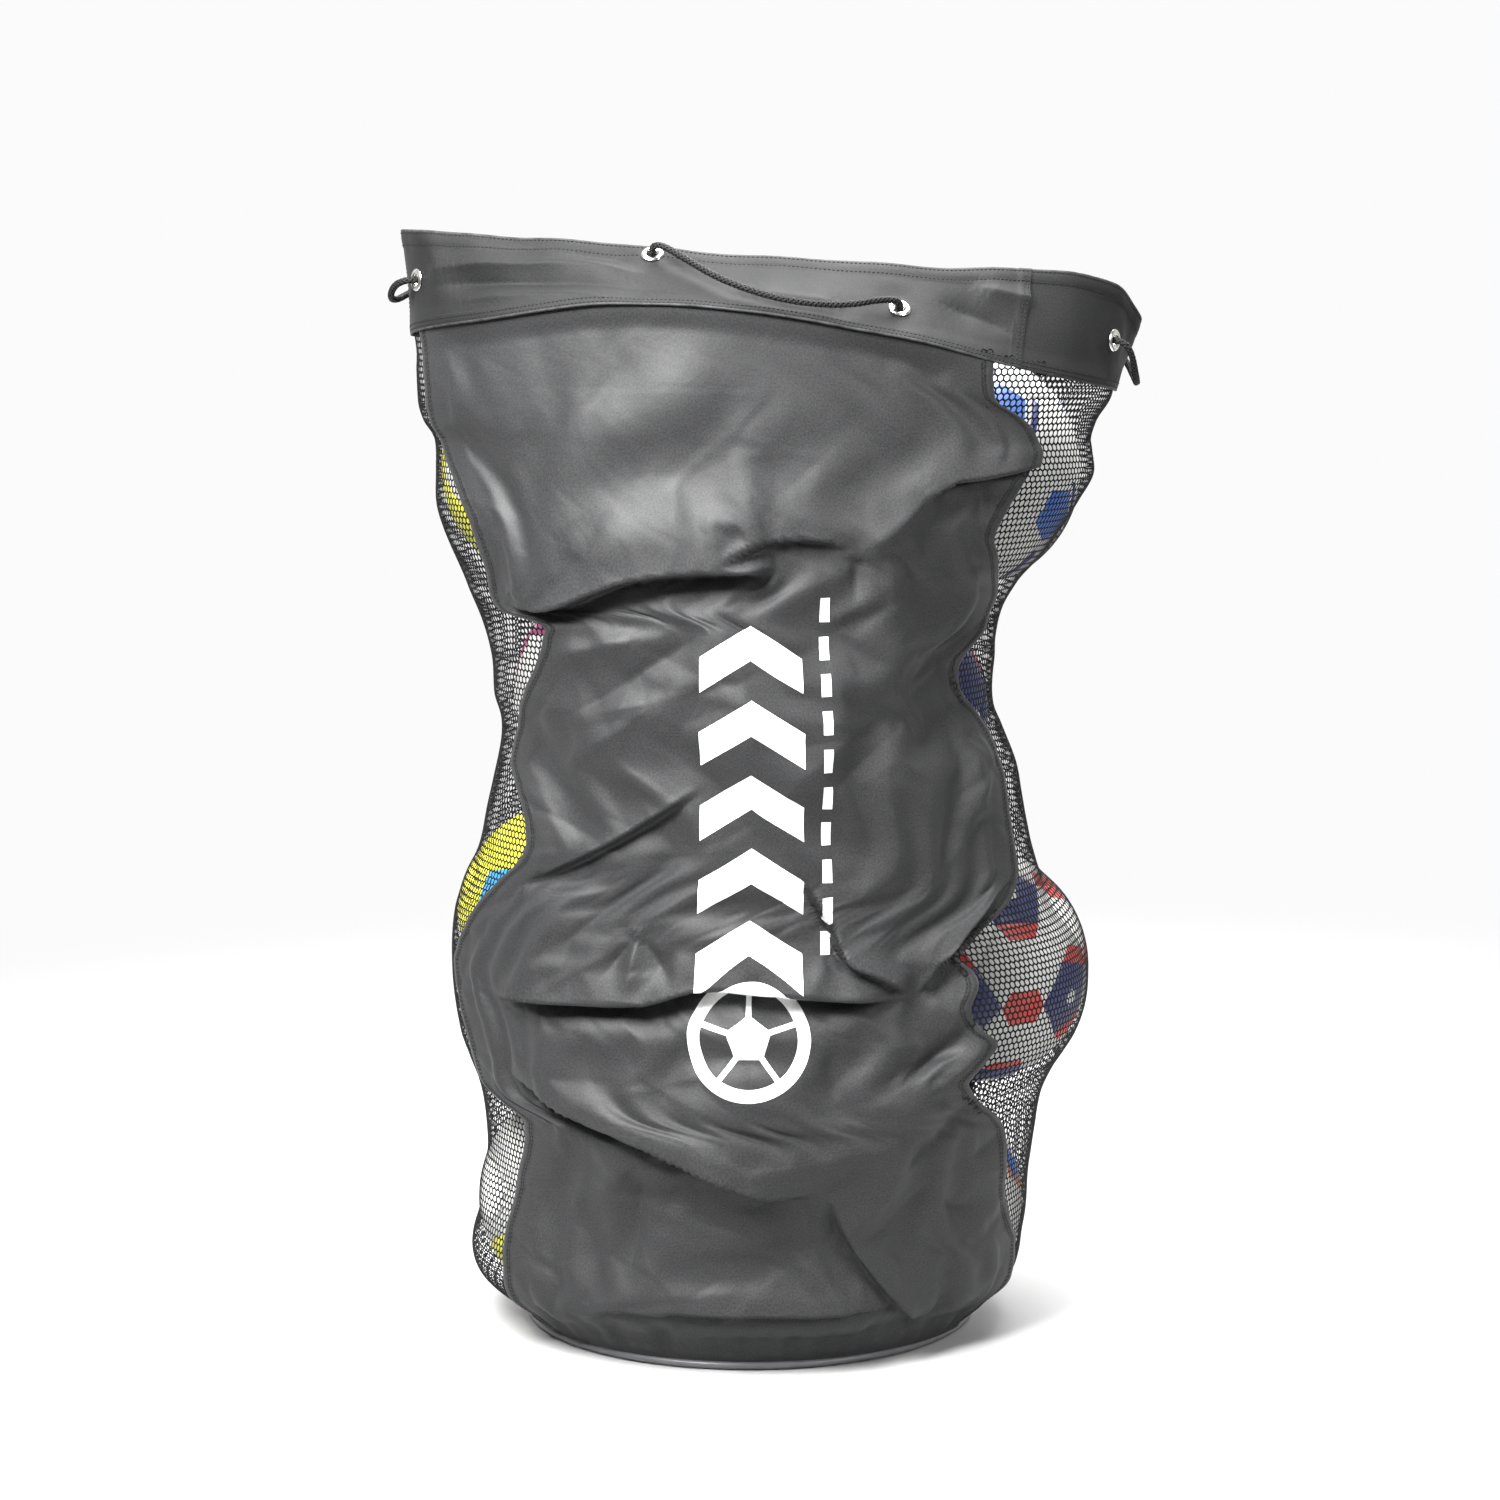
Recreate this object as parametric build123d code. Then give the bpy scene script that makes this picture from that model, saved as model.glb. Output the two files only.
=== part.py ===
from build123d import *
import os
from math import cos, degrees, pi, radians, sin, tan

os.makedirs("parts", exist_ok=True)

# A tall drawstring sack standing full of footballs. Millimetres, +Z up, the front faces -Y.
# The origin is on the floor, at the centre of the round base.

# Driving dimensions
BALL_RADIUS = 109.0       # a size 5 football
BALL_WALL = 3.4           # cover and bladder together
BASE_RADIUS = 205.0
FABRIC = 1.6              # a coated panel with its turned hems
SEAM_GAP = 2.0            # clear gap between two panels that are sewn together
BASE_COVER = 1.8
BASE_BOARD = 3.0
BASE_LINING = 1.2
FIT_TOLERANCE = 0.8       # how far a fitted sheet may pass from its points
LAYER_GAP = 0.3           # clear gap between the layers of the base
PIPING_RADIUS = 3.4
BODY_START = 11.0         # height where the side panels leave the piping
CORD_DIAMETER = 6.5
EYELET_OUTER = 10.0       # radii of an eyelet
EYELET_BORE = 5.0
EYELET_BARREL = 5.6
EYELET_LIFT = 0.5         # how far a flange stands off the collar
EYELET_CLEAR = 0.4        # play round a barrel in the fabric
WASHER_DEPTH = 0.9        # how far a washer lies inside the collar's inner face
WASHER_THICK = 0.8
WASHER_RADIUS = 9.4
STRAP_WIDTH = 38.0
STRAP_THICK = 2.0

# The sack's horizontal sections: height, left, right, front and back, then the angle, in
# degrees anticlockwise from +X, of the front panel's left and right edges.
SECTIONS = [
    (11, -207, 207, -207, 207, 212, 330),
    (45, -249, 243, -244, 244, 211, 340),
    (92, -262, 260, -259, 255, 210, 342),
    (150, -256, 268, -262, 256, 209, 333),
    (240, -266, 298, -259, 244, 194, 314),
    (325, -277, 320, -241, 240, 190, 310),
    (400, -275, 298, -234, 240, 212, 328),
    (500, -252, 259, -236, 244, 211, 336),
    (600, -238, 238, -236, 246, 210, 334),
    (680, -257, 261, -228, 251, 196, 328),
    (730, -277, 300, -222, 254, 193, 325),
    (785, -294, 319, -214, 252, 192, 322),
    (850, -299, 331, -207, 238, 194, 320),
    (900, -306, 338, -201, 224, 198, 311),
    (945, -310, 343, -194, 212, 200, 309),
]
BACK_RIGHT_EDGE = 36.0    # angles of the back panel's edges
BACK_LEFT_EDGE = 144.0

# The collar: the height of its lower seam and of its rim, round the mouth by angle.
COLLAR_HEIGHTS = [
    (0, 856, 920),
    (30, 866, 938),
    (75, 886, 966),
    (120, 896, 985),
    (180, 906, 1000),
    (217, 918, 996),
    (253, 933, 983),
    (290, 905, 967),
    (312, 879, 965),
    (337, 862, 952),
]
RIM_LEFT = -317.0
RIM_RIGHT = 354.0
RIM_FRONT = -128.0
RIM_BACK = 200.0
COLLAR_SPLIT = (178, 312, 538)   # the collar's front and back pieces meet at these angles

# Eyelets, by angle and by how far up the collar they sit. Every second span of cord is outside.
EYELETS = [
    (252, 0.86),
    (290, 0.40),
    (341, 0.48),
    (19, 0.52),
    (69, 0.52),
    (107, 0.52),
    (160, 0.52),
    (197, 0.50),
]

# Ball centres, laid up from the base in rough layers of three.
BALLS = [
    (-141, -32, 116),
    (142, -37, 116),
    (2, 139, 116),
    (0, -142, 245),
    (205, 12, 324),
    (12, 119, 334),
    (-161, -10, 372),
    (24, -112, 461),
    (114, 62, 558),
    (-111, 52, 577),
    (2, -103, 684),
    (9, 136, 750),
    (194, 22, 784),
    (-174, 22, 786),
]

# Cord lock on the two tails that hang at the back
TAIL_X = 24.0
TAIL_Y = 267.0
TAIL_SPREAD = 3.7         # half the distance between the two tails
LOCK_Z = 764.0
LOCK_RADIUS = 8.5
LOCK_ENDS = (-18.0, 12.0)    # the barrel's ends beside the tails' middle, along X
LOCK_WALL = 1.6
LOCK_BORE = 6.2              # radius
LOCK_PLAY = 0.3              # between the button's stem and the bore, and round the tails
LOCK_PRESS = 3.0             # the button's travel
BUTTON_HEAD = (7.6, 6.0)     # radius and length
SPRING_LENGTH = 3.7          # as it is with the button fully pressed
KNOT_RADIUS = 9.5
KNOT_Z = 648.0

# Shoulder strap on the back
STRAP_X = 105.0
STRAP_ROUTE = [(233, 862), (249, 790), (258, 690), (266, 600), (266, 400), (263, 300), (256, 200), (246, 92)]
SLIDER_Z = 500.0
PATCH_SIDE = 44.0
PATCH_THICK = 2.0
PATCH_LIFT = 0.8             # clear gap between a patch and the strap, which bends under it
SLIDER_SIZE = (STRAP_WIDTH + 12, 8, 30)
SLIDER_WINDOW = 7.0


def between(rows, place):
    """The smooth value of every column of rows at a place in the first column."""
    index = 0
    while index < len(rows) - 2 and rows[index + 1][0] < place:
        index += 1
    start, end = rows[index], rows[index + 1]
    before = rows[max(index - 1, 0)]
    after = rows[min(index + 2, len(rows) - 1)]
    span = end[0] - start[0]
    share = (place - start[0]) / span
    values = []
    for column in range(1, len(start)):
        slope_in = (end[column] - before[column]) / (end[0] - before[0]) * span
        slope_out = (after[column] - start[column]) / (after[0] - start[0]) * span
        rise = end[column] - start[column]
        curve_in = slope_in - rise
        curve_out = rise - slope_out
        bow = share * (1 - share) * ((1 - share) * curve_in + share * curve_out)
        values.append(start[column] + rise * share + bow)
    return values


def turned(rows):
    """Rows by angle, repeated a turn below and a turn above."""
    return [(row[0] + turn, *row[1:]) for turn in (-360, 0, 360) for row in rows]


def body_point(angle, height, inset=0.0):
    """A point of the sack below the collar, on its outer face or inset from it."""
    left, right, front, back, _, _ = between(SECTIONS, height)
    depth = (back if sin(radians(angle)) > 0 else -front) - inset
    half_width = (right - left) / 2 - inset
    across = (left + right) / 2 + half_width * cos(radians(angle))
    return Vector(across, depth * sin(radians(angle)), height)


def rim_point(angle):
    """A point of the mouth's rim."""
    _, rim = between(turned(COLLAR_HEIGHTS), angle % 360)
    depth = RIM_BACK if sin(radians(angle)) > 0 else -RIM_FRONT
    across = (RIM_LEFT + RIM_RIGHT) / 2 + (RIM_RIGHT - RIM_LEFT) / 2 * cos(radians(angle))
    return Vector(across, depth * sin(radians(angle)), rim)


def seam_height(angle):
    """The height of the seam between the collar and the panels."""
    return between(turned(COLLAR_HEIGHTS), angle % 360)[0]


def collar_surface(angle, rise):
    """A point of the collar's outer face: rise is 0 at its seam and 1 at its rim."""
    low = body_point(angle, seam_height(angle))
    return low + (rim_point(angle) - low) * rise


def collar_normal(angle, rise):
    """The collar's outward direction."""
    along = collar_surface(angle + 1, rise) - collar_surface(angle - 1, rise)
    up = collar_surface(angle, rise + 0.02) - collar_surface(angle, rise - 0.02)
    return along.cross(up).normalized()


def collar_point(angle, rise, out):
    """A point that stands out from the collar's outer face, or inside it when out is negative."""
    return collar_surface(angle, rise) + collar_normal(angle, rise) * out


def steps(start, end, count):
    """Evenly spaced values from start to end."""
    return [start + (end - start) * index / count for index in range(count + 1)]


def cloth(outer_rows, inner_rows):
    """A sheet of fabric between an outer and an inner face, each through rows of points."""
    outer = Face.make_surface_from_array_of_points(outer_rows, tol=FIT_TOLERANCE)
    inner = Face.make_surface_from_array_of_points(inner_rows, tol=FIT_TOLERANCE)
    hems = [Face.make_surface_from_curves(edge, other) for edge, other in zip(outer.edges(), inner.edges())]
    return Solid(Shell([outer, inner, *hems]))


def write(node, shape):
    """One node, one file."""
    shape.label = node
    export_step(shape, f"parts/{node}.step")


def panel(left_edge, right_edge):
    """A panel of the sack between two edges, each a function of height that gives an angle."""
    outer_rows = []
    inner_rows = []
    for share in steps(0, 1, 40):
        places = []
        for turn in steps(0, 1, 14):
            angle = left_edge(500) + (right_edge(500) - left_edge(500)) * turn
            for _ in range(4):
                height = BODY_START + (seam_height(angle) - SEAM_GAP - BODY_START) * share
                angle = left_edge(height) + (right_edge(height) - left_edge(height)) * turn
            places.append((angle, height))
        outer_rows.append([body_point(angle, height) for angle, height in places])
        inner_rows.append([body_point(angle, height, FABRIC) for angle, height in places])
    return cloth(outer_rows, inner_rows)


def gap_angle(height):
    """Half a seam gap as an angle."""
    left, right, _, _, _, _ = between(SECTIONS, height)
    return degrees(SEAM_GAP / (right - left))


def front_left_edge(height):
    return between(SECTIONS, height)[4]


def front_right_edge(height):
    return between(SECTIONS, height)[5]


# The base: cover, board and lining, with piping round the edge
base_cover = Pos(0, 0, BASE_COVER / 2) * Cylinder(BASE_RADIUS - PIPING_RADIUS - LAYER_GAP, BASE_COVER)
board_bottom = BASE_COVER + LAYER_GAP
base_board = Pos(0, 0, board_bottom + BASE_BOARD / 2) * Cylinder(BASE_RADIUS - 9, BASE_BOARD)
lining_bottom = board_bottom + BASE_BOARD + LAYER_GAP
base_lining = Pos(0, 0, lining_bottom + BASE_LINING / 2) * Cylinder(BASE_RADIUS - 6, BASE_LINING)
base_piping = Pos(0, 0, PIPING_RADIUS + 1.0) * Torus(BASE_RADIUS, PIPING_RADIUS)
write("base_cover", base_cover)
write("base_board", base_board)
write("base_lining", base_lining)
write("base_piping", base_piping)

# The four panels
write("front_panel", panel(front_left_edge, front_right_edge))
write("mesh_right", panel(lambda z: front_right_edge(z) + 2 * gap_angle(z),
                          lambda z: 360 + BACK_RIGHT_EDGE - 2 * gap_angle(z)))
write("back_panel", panel(lambda z: BACK_RIGHT_EDGE, lambda z: BACK_LEFT_EDGE))
write("mesh_left", panel(lambda z: BACK_LEFT_EDGE + 2 * gap_angle(z),
                         lambda z: front_left_edge(z) - 2 * gap_angle(z)))


# The collar: a front and a back piece, pierced for the eyelets
def collar_piece(start, end):
    """A piece of the collar between two angles."""
    angles = steps(start + 0.15, end - 0.15, 10 + round((end - start) / 12))
    rises = steps(0.012, 1, 5)
    outer_rows = [[collar_point(angle, rise, 0) for angle in angles] for rise in rises]
    inner_rows = [[collar_point(angle, rise, -FABRIC) for angle in angles] for rise in rises]
    piece = cloth(outer_rows, inner_rows)
    for angle, rise in EYELETS:
        if start < angle < end or start < angle + 360 < end:
            frame = Plane(collar_surface(angle, rise), z_dir=collar_normal(angle, rise))
            piece = piece - frame * Cylinder(EYELET_BARREL + EYELET_CLEAR, 12)
    return piece


write("collar_front", collar_piece(COLLAR_SPLIT[0], COLLAR_SPLIT[1]))
write("collar_back", collar_piece(COLLAR_SPLIT[1], COLLAR_SPLIT[2]))


# Eyelets: a domed ring with a barrel, and the washer that it is set into inside the collar
def eyelet_ring():
    """The outside ring and barrel of an eyelet, its axis along +Z and its flange at 0."""
    end = -EYELET_LIFT - FABRIC - WASHER_DEPTH - WASHER_THICK - EYELET_LIFT
    outline = Polyline((EYELET_BORE, 0.6), (EYELET_BORE, end), (EYELET_BARREL, end),
                       (EYELET_BARREL, 0.0), (EYELET_OUTER, 0.0), (EYELET_OUTER, 0.3))
    dome = ThreePointArc((EYELET_OUTER, 0.3), (7.4, 1.7), (EYELET_BORE, 0.6))
    profile = make_face(Wire([*outline.edges(), *dome.edges()]))
    return revolve(Plane.XZ * profile, Axis.Z)


def eyelet_washer():
    """The flat washer, its upper face at 0."""
    disc = Cylinder(WASHER_RADIUS, WASHER_THICK) - Cylinder(EYELET_BARREL + EYELET_CLEAR / 2, 2)
    return Pos(0, 0, -WASHER_THICK / 2) * disc


for number, (angle, rise) in enumerate(EYELETS, start=1):
    normal = collar_normal(angle, rise)
    outside = Plane(collar_point(angle, rise, EYELET_LIFT), z_dir=normal)
    inside = Plane(collar_point(angle, rise, -FABRIC - WASHER_DEPTH), z_dir=normal)
    write(f"eyelet_{number}", outside * eyelet_ring())
    write(f"eyelet_washer_{number}", inside * eyelet_washer())

# The footballs
for number, centre in enumerate(BALLS, start=1):
    write(f"ball_{number:02d}", Pos(*centre) * (Sphere(BALL_RADIUS) - Sphere(BALL_RADIUS - BALL_WALL)))

# The drawcord. From the knot it climbs through the cord lock, and is laced in and out of the
# eyelets round the whole mouth, and comes back down through the lock to the knot.
RIGHT_TAIL = [
    Vector(TAIL_X + 2.6, TAIL_Y, KNOT_Z + 6),
    Vector(TAIL_X + TAIL_SPREAD, TAIL_Y, KNOT_Z + 54),
    Vector(TAIL_X + TAIL_SPREAD, TAIL_Y, KNOT_Z + 148),
    Vector(TAIL_X + 15, TAIL_Y - 11, KNOT_Z + 198),
    Vector(TAIL_X + 50, TAIL_Y - 31, KNOT_Z + 240),
]
LACING = [
    # up to the first eyelet at the back, in, and round inside to the right
    (73, 0.45, 14), (69, 0.52, 9), (69, 0.52, -12), (65, 0.53, -16), (57, 0.54, -11), (46, 0.53, -11),
    (33, 0.50, -12), (24, 0.51, -15), (19, 0.52, -11),
    # the loop at the right
    (19, 0.52, 9), (14, 0.46, 15), (6, 0.26, 17), (356, 0.16, 17), (348, 0.26, 16), (343.5, 0.40, 15),
    (341, 0.48, 9), (341, 0.48, -10),
    # inside, then the front loop
    (335, 0.49, -15), (325, 0.46, -12), (311, 0.42, -11), (299, 0.40, -12), (294, 0.40, -16),
    (290, 0.40, -11), (290, 0.40, 9), (286.5, 0.32, 14), (281, 0.16, 12), (272, 0.10, 11),
    (263, 0.30, 11), (257, 0.62, 13), (253.5, 0.80, 15), (252, 0.86, 9), (252, 0.86, -10),
    # inside to the left, and the short loop there
    (248, 0.85, -15), (241, 0.80, -12), (228, 0.70, -11), (213, 0.60, -11), (203, 0.53, -15),
    (197, 0.50, -11), (197, 0.50, 9), (192, 0.47, 15), (184, 0.38, 16), (174, 0.36, 16),
    (165.5, 0.45, 15), (160, 0.52, 9), (160, 0.52, -10),
    # inside to the back, and out of the last eyelet
    (154.5, 0.52, -12), (145, 0.53, -9), (132, 0.54, -9), (120, 0.53, -11), (111, 0.53, -16),
    (107, 0.52, -12), (107, 0.52, 9), (103, 0.45, 14),
]
LEFT_TAIL = [
    Vector(TAIL_X - 48, TAIL_Y - 30, KNOT_Z + 244),
    Vector(TAIL_X - 15, TAIL_Y - 11, KNOT_Z + 199),
    Vector(TAIL_X - TAIL_SPREAD, TAIL_Y, KNOT_Z + 148),
    Vector(TAIL_X - TAIL_SPREAD, TAIL_Y, KNOT_Z + 54),
    Vector(TAIL_X - 2.6, TAIL_Y, KNOT_Z + 6),
]
cord_route = RIGHT_TAIL + [collar_point(*row) for row in LACING] + LEFT_TAIL


def corner_radii(route):
    """The largest radius for each inner point that leaves both of its runs a straight middle."""
    radii = []
    for before, corner, after in zip(route, route[1:], route[2:]):
        arriving = corner - before
        leaving = after - corner
        turn = radians(arriving.get_angle(leaving))
        radii.append(0.45 * min(arriving.length, leaving.length) / tan(turn / 2))
    return radii


radii = corner_radii(cord_route)
cord_path = FilletPolyline(*cord_route, radius=radii)
cord_section = (cord_path.wires()[0] ^ 0) * Circle(CORD_DIAMETER / 2)
drawcord = sweep(cord_section, path=cord_path, transition=Transition.ROUND)
write("drawcord", drawcord)
expected = pi * CORD_DIAMETER ** 2 / 4 * cord_path.length
print("cord length", round(cord_path.length), "volume ratio", round(drawcord.volume / expected, 4))
print("cord radii", [round(value, 1) for value in radii])

# The overhand knot that joins the two tails, with the two short cut ends under it
knot = Pos(TAIL_X, TAIL_Y, KNOT_Z) * (Sphere(KNOT_RADIUS) + Pos(0, 0, -3) * Torus(6.5, 4.2))
for side in (-1, 1):
    cut_end = Rot(0, side * -12, 0) * Cylinder(0.48 * CORD_DIAMETER, 26)
    knot += Pos(TAIL_X + side * 4, TAIL_Y, KNOT_Z - 18) * cut_end
write("cord_end_knot", knot)


def lying(radius, start, end):
    """A round bar along X from start to end."""
    return Pos((start + end) / 2, 0, 0) * Rot(0, 90, 0) * Cylinder(radius, end - start)


# The cord lock: a barrel lying across the tails, a spring and a push button
lock_place = Pos(TAIL_X, TAIL_Y, LOCK_Z)
lock_left, lock_right = LOCK_ENDS
bore_end = lock_left + LOCK_WALL
tails_half = TAIL_SPREAD + CORD_DIAMETER / 2 + 2 * LOCK_PLAY
tails_width = CORD_DIAMETER + 4 * LOCK_PLAY
lock_tube = fillet(lying(LOCK_RADIUS, lock_left, lock_right).edges(), LOCK_WALL)
lock_slot = Box(2 * tails_half, tails_width, 4 * LOCK_RADIUS)
write("cord_lock_body", lock_place * (lock_tube - lying(LOCK_BORE, bore_end, lock_right + 5) - lock_slot))

head_radius, head_length = BUTTON_HEAD
head_start = lock_right + LOCK_PRESS + 2 * LOCK_PLAY
button_head = fillet(lying(head_radius, head_start, head_start + head_length).edges(), 1.2)
button_stem = lying(LOCK_BORE - LOCK_PLAY, -tails_half - LOCK_WALL, head_start + 0.1)
button_slot = Pos(LOCK_PRESS / 2, 0, 0) * Box(2 * tails_half + LOCK_PRESS, tails_width, 4 * LOCK_RADIUS)
write("cord_lock_button", lock_place * (button_stem + button_head - button_slot))

spring_ends = (bore_end + LOCK_PLAY / 3, bore_end + SPRING_LENGTH)
write("cord_lock_spring", lock_place * (lying(4.4, *spring_ends) - lying(3.4, *spring_ends)))

# The shoulder strap: a band of webbing, a patch over each sewn end and a three-bar slider
strap_points = [Vector(STRAP_X, y, z) for y, z in STRAP_ROUTE]
strap_line = FilletPolyline(*strap_points, radius=corner_radii(strap_points))
strap_start = Plane(strap_line @ 0, x_dir=(1, 0, 0), z_dir=strap_line % 0)
write("shoulder_strap", sweep(strap_start * Rectangle(STRAP_WIDTH, STRAP_THICK), path=strap_line))


def strap_patch(low, high):
    """A square patch over one sewn end of the strap, on the outside of a run of its route."""
    middle = Vector(STRAP_X, (low[0] + high[0]) / 2, (low[1] + high[1]) / 2)
    along = Vector(0, high[0] - low[0], high[1] - low[1])
    beside = Plane(middle, x_dir=(1, 0, 0), z_dir=along.cross(Vector(1, 0, 0)))
    lift = STRAP_THICK / 2 + PATCH_THICK / 2 + PATCH_LIFT
    return beside * Pos(0, 0, lift) * Box(PATCH_SIDE, PATCH_SIDE, PATCH_THICK)


write("strap_patch_top", strap_patch(STRAP_ROUTE[1], STRAP_ROUTE[0]))
write("strap_patch_bottom", strap_patch(STRAP_ROUTE[-1], STRAP_ROUTE[-2]))

# The slider: a flat sleeve round the strap, with two windows that leave three bars on each face
slider_outer = fillet(Box(*SLIDER_SIZE).edges().filter_by(Axis.Y), 4)
slider_sleeve = Box(STRAP_WIDTH + 2, STRAP_THICK + 1.4, 2 * SLIDER_SIZE[2])
slider = slider_outer - slider_sleeve
for side in (-1, 1):
    slider -= Pos(0, 0, side * 6.5) * Box(STRAP_WIDTH + 2, 3 * SLIDER_SIZE[1], SLIDER_WINDOW)
write("strap_slider", Pos(STRAP_X, STRAP_ROUTE[3][0], SLIDER_Z) * slider)
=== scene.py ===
import math
import bpy
import numpy as np
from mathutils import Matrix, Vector


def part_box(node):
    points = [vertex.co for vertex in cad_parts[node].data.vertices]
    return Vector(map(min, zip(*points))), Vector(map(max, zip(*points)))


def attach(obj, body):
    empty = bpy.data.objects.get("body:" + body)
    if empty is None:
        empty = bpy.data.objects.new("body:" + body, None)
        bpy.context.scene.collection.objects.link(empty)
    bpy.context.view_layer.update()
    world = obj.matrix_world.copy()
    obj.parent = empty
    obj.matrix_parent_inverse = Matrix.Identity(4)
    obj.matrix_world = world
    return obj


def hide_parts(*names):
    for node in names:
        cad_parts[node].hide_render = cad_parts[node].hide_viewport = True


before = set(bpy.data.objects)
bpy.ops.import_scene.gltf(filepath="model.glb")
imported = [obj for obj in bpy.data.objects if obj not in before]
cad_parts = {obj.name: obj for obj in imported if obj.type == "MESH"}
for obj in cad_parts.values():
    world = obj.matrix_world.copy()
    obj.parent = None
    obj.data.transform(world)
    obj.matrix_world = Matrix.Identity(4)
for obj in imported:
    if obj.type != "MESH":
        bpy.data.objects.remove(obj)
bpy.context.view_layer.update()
MM = 0.001

# ---------------------------------------------------------------- camera, light and floor

CAMERA_AWAY = 3.3
CAMERA_HEIGHT = 0.92
CAMERA_PITCH = 6.8
LENS = 86.6
SENSOR = 36
WORLD_COLOUR = (0.965, 0.965, 0.965, 1)
# From and to along Y, and the strength of the room's light at each.
WORLD_GLOW = (-0.35, 0.85, 0.16, 1.0)
# Name, place, target, size, watts, and spread in degrees.
SOFTBOXES = [
    ("key", (-1.05, -1.45, 2.4), (0, 0, 0.68), (1.3, 1.3), 108, 100),
    ("fill", (2.1, -2.1, 1.9), (0, 0, 0.6), (0.9, 1.4), 62, 180),
    ("top", (0.4, 0.3, 3.0), (0.1, 0, 0.3), (1.6, 1.6), 170, 180),
    ("back", (0.8, 2.4, 2.2), (0, 0, 0.5), (1.4, 1.4), 70, 180),
]


def look(obj, target):
    """Turns a light or camera so that its -Z axis points at a target."""
    obj.rotation_euler = (Vector(target) - obj.location).to_track_quat("-Z", "Y").to_euler()


def add_camera():
    """The photograph's view: from the front, a little above the bag's middle."""
    data = bpy.data.cameras.new("camera")
    data.lens = LENS
    data.sensor_width = SENSOR
    camera = bpy.data.objects.new("camera", data)
    bpy.context.scene.collection.objects.link(camera)
    camera.location = (0, -CAMERA_AWAY, CAMERA_HEIGHT)
    camera.rotation_euler = (math.radians(90 - CAMERA_PITCH), 0, 0)
    bpy.context.scene.camera = camera


def add_softbox(name, place, target, size, power, spread):
    """A rectangular area light."""
    data = bpy.data.lights.new(name, "AREA")
    data.shape = "RECTANGLE"
    data.size, data.size_y = size
    data.energy = power
    data.spread = math.radians(spread)
    light = bpy.data.objects.new(name, data)
    bpy.context.scene.collection.objects.link(light)
    light.location = place
    look(light, target)


def add_world():
    """A room that is brighter on the far side. The camera itself sees it as even and nearly white."""
    world = bpy.data.worlds.new("studio")
    world.use_nodes = True
    nodes, links = world.node_tree.nodes, world.node_tree.links
    background = nodes["Background"]
    background.inputs[0].default_value = WORLD_COLOUR
    place = nodes.new("ShaderNodeTexCoord")
    parts = nodes.new("ShaderNodeSeparateXYZ")
    glow = nodes.new("ShaderNodeMapRange")
    glow.interpolation_type = "SMOOTHSTEP"
    for socket, number in zip(glow.inputs[1:5], WORLD_GLOW):
        socket.default_value = number
    seen = nodes.new("ShaderNodeLightPath")
    brighter = nodes.new("ShaderNodeMath")
    brighter.operation = "MAXIMUM"
    links.new(place.outputs["Generated"], parts.inputs[0])
    links.new(parts.outputs["Y"], glow.inputs[0])
    links.new(glow.outputs[0], brighter.inputs[0])
    links.new(seen.outputs["Is Camera Ray"], brighter.inputs[1])
    links.new(brighter.outputs[0], background.inputs[1])
    bpy.context.scene.world = world


add_camera()
for softbox in SOFTBOXES:
    add_softbox(*softbox)
add_world()
bpy.context.scene.view_settings.view_transform = "Standard"
bpy.context.scene.view_settings.look = "None"

# ---------------------------------------------------------------- the sack's shape, as in the CAD part

# Height, left, right, front and back, in millimetres.
SECTIONS = [
    (11, -207, 207, -207, 207),
    (45, -249, 243, -244, 244),
    (92, -262, 260, -259, 255),
    (150, -256, 268, -262, 256),
    (240, -266, 298, -259, 244),
    (325, -277, 320, -241, 240),
    (400, -275, 298, -234, 240),
    (500, -252, 259, -236, 244),
    (600, -238, 238, -236, 246),
    (680, -257, 261, -228, 251),
    (730, -277, 300, -222, 254),
    (785, -294, 319, -214, 252),
    (850, -299, 331, -207, 238),
    (900, -306, 338, -201, 224),
    (945, -310, 343, -194, 212),
]
BODY_START = 11.0
BACK_RIGHT_EDGE = 36.0
BACK_LEFT_EDGE = 144.0
# Angle, and the heights of the collar's seam and of its rim.
COLLAR_HEIGHTS = [
    (0, 856, 920),
    (30, 866, 938),
    (75, 886, 966),
    (120, 896, 985),
    (180, 906, 1000),
    (217, 918, 996),
    (253, 933, 983),
    (290, 905, 967),
    (312, 879, 965),
    (337, 862, 952),
]
RIM_LEFT, RIM_RIGHT, RIM_FRONT, RIM_BACK = -317.0, 354.0, -128.0, 200.0
# Angles at the left and right joins of the collar's two pieces, and at the left join a turn later.
COLLAR_SPLIT = (178, 312, 538)
# Angle, and share of the way up the collar.
EYELETS = [
    (252, 0.86), (290, 0.40), (341, 0.48), (19, 0.52), (69, 0.52), (107, 0.52), (160, 0.52), (197, 0.50),
]


def between(rows, places, column):
    """Smooth values of one column of rows at places in the first column."""
    rows = np.asarray(rows, float)
    keys = rows[:, 0]
    places = np.asarray(places, float)
    index = np.clip(np.searchsorted(keys, places, side="left") - 1, 0, len(keys) - 2)
    before, after = np.maximum(index - 1, 0), np.minimum(index + 2, len(keys) - 1)
    value = rows[:, column]
    span = keys[index + 1] - keys[index]
    share = (places - keys[index]) / span
    slope_in = (value[index + 1] - value[before]) / (keys[index + 1] - keys[before]) * span
    slope_out = (value[after] - value[index]) / (keys[after] - keys[index]) * span
    rise = value[index + 1] - value[index]
    bow = share * (1 - share) * ((1 - share) * (slope_in - rise) + share * (rise - slope_out))
    return value[index] + rise * share + bow


def turned(rows):
    """Rows by angle, repeated a turn below and a turn above."""
    return [(row[0] + turn, *row[1:]) for turn in (-360, 0, 360) for row in rows]


TURNED_HEIGHTS = turned(COLLAR_HEIGHTS)


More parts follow.
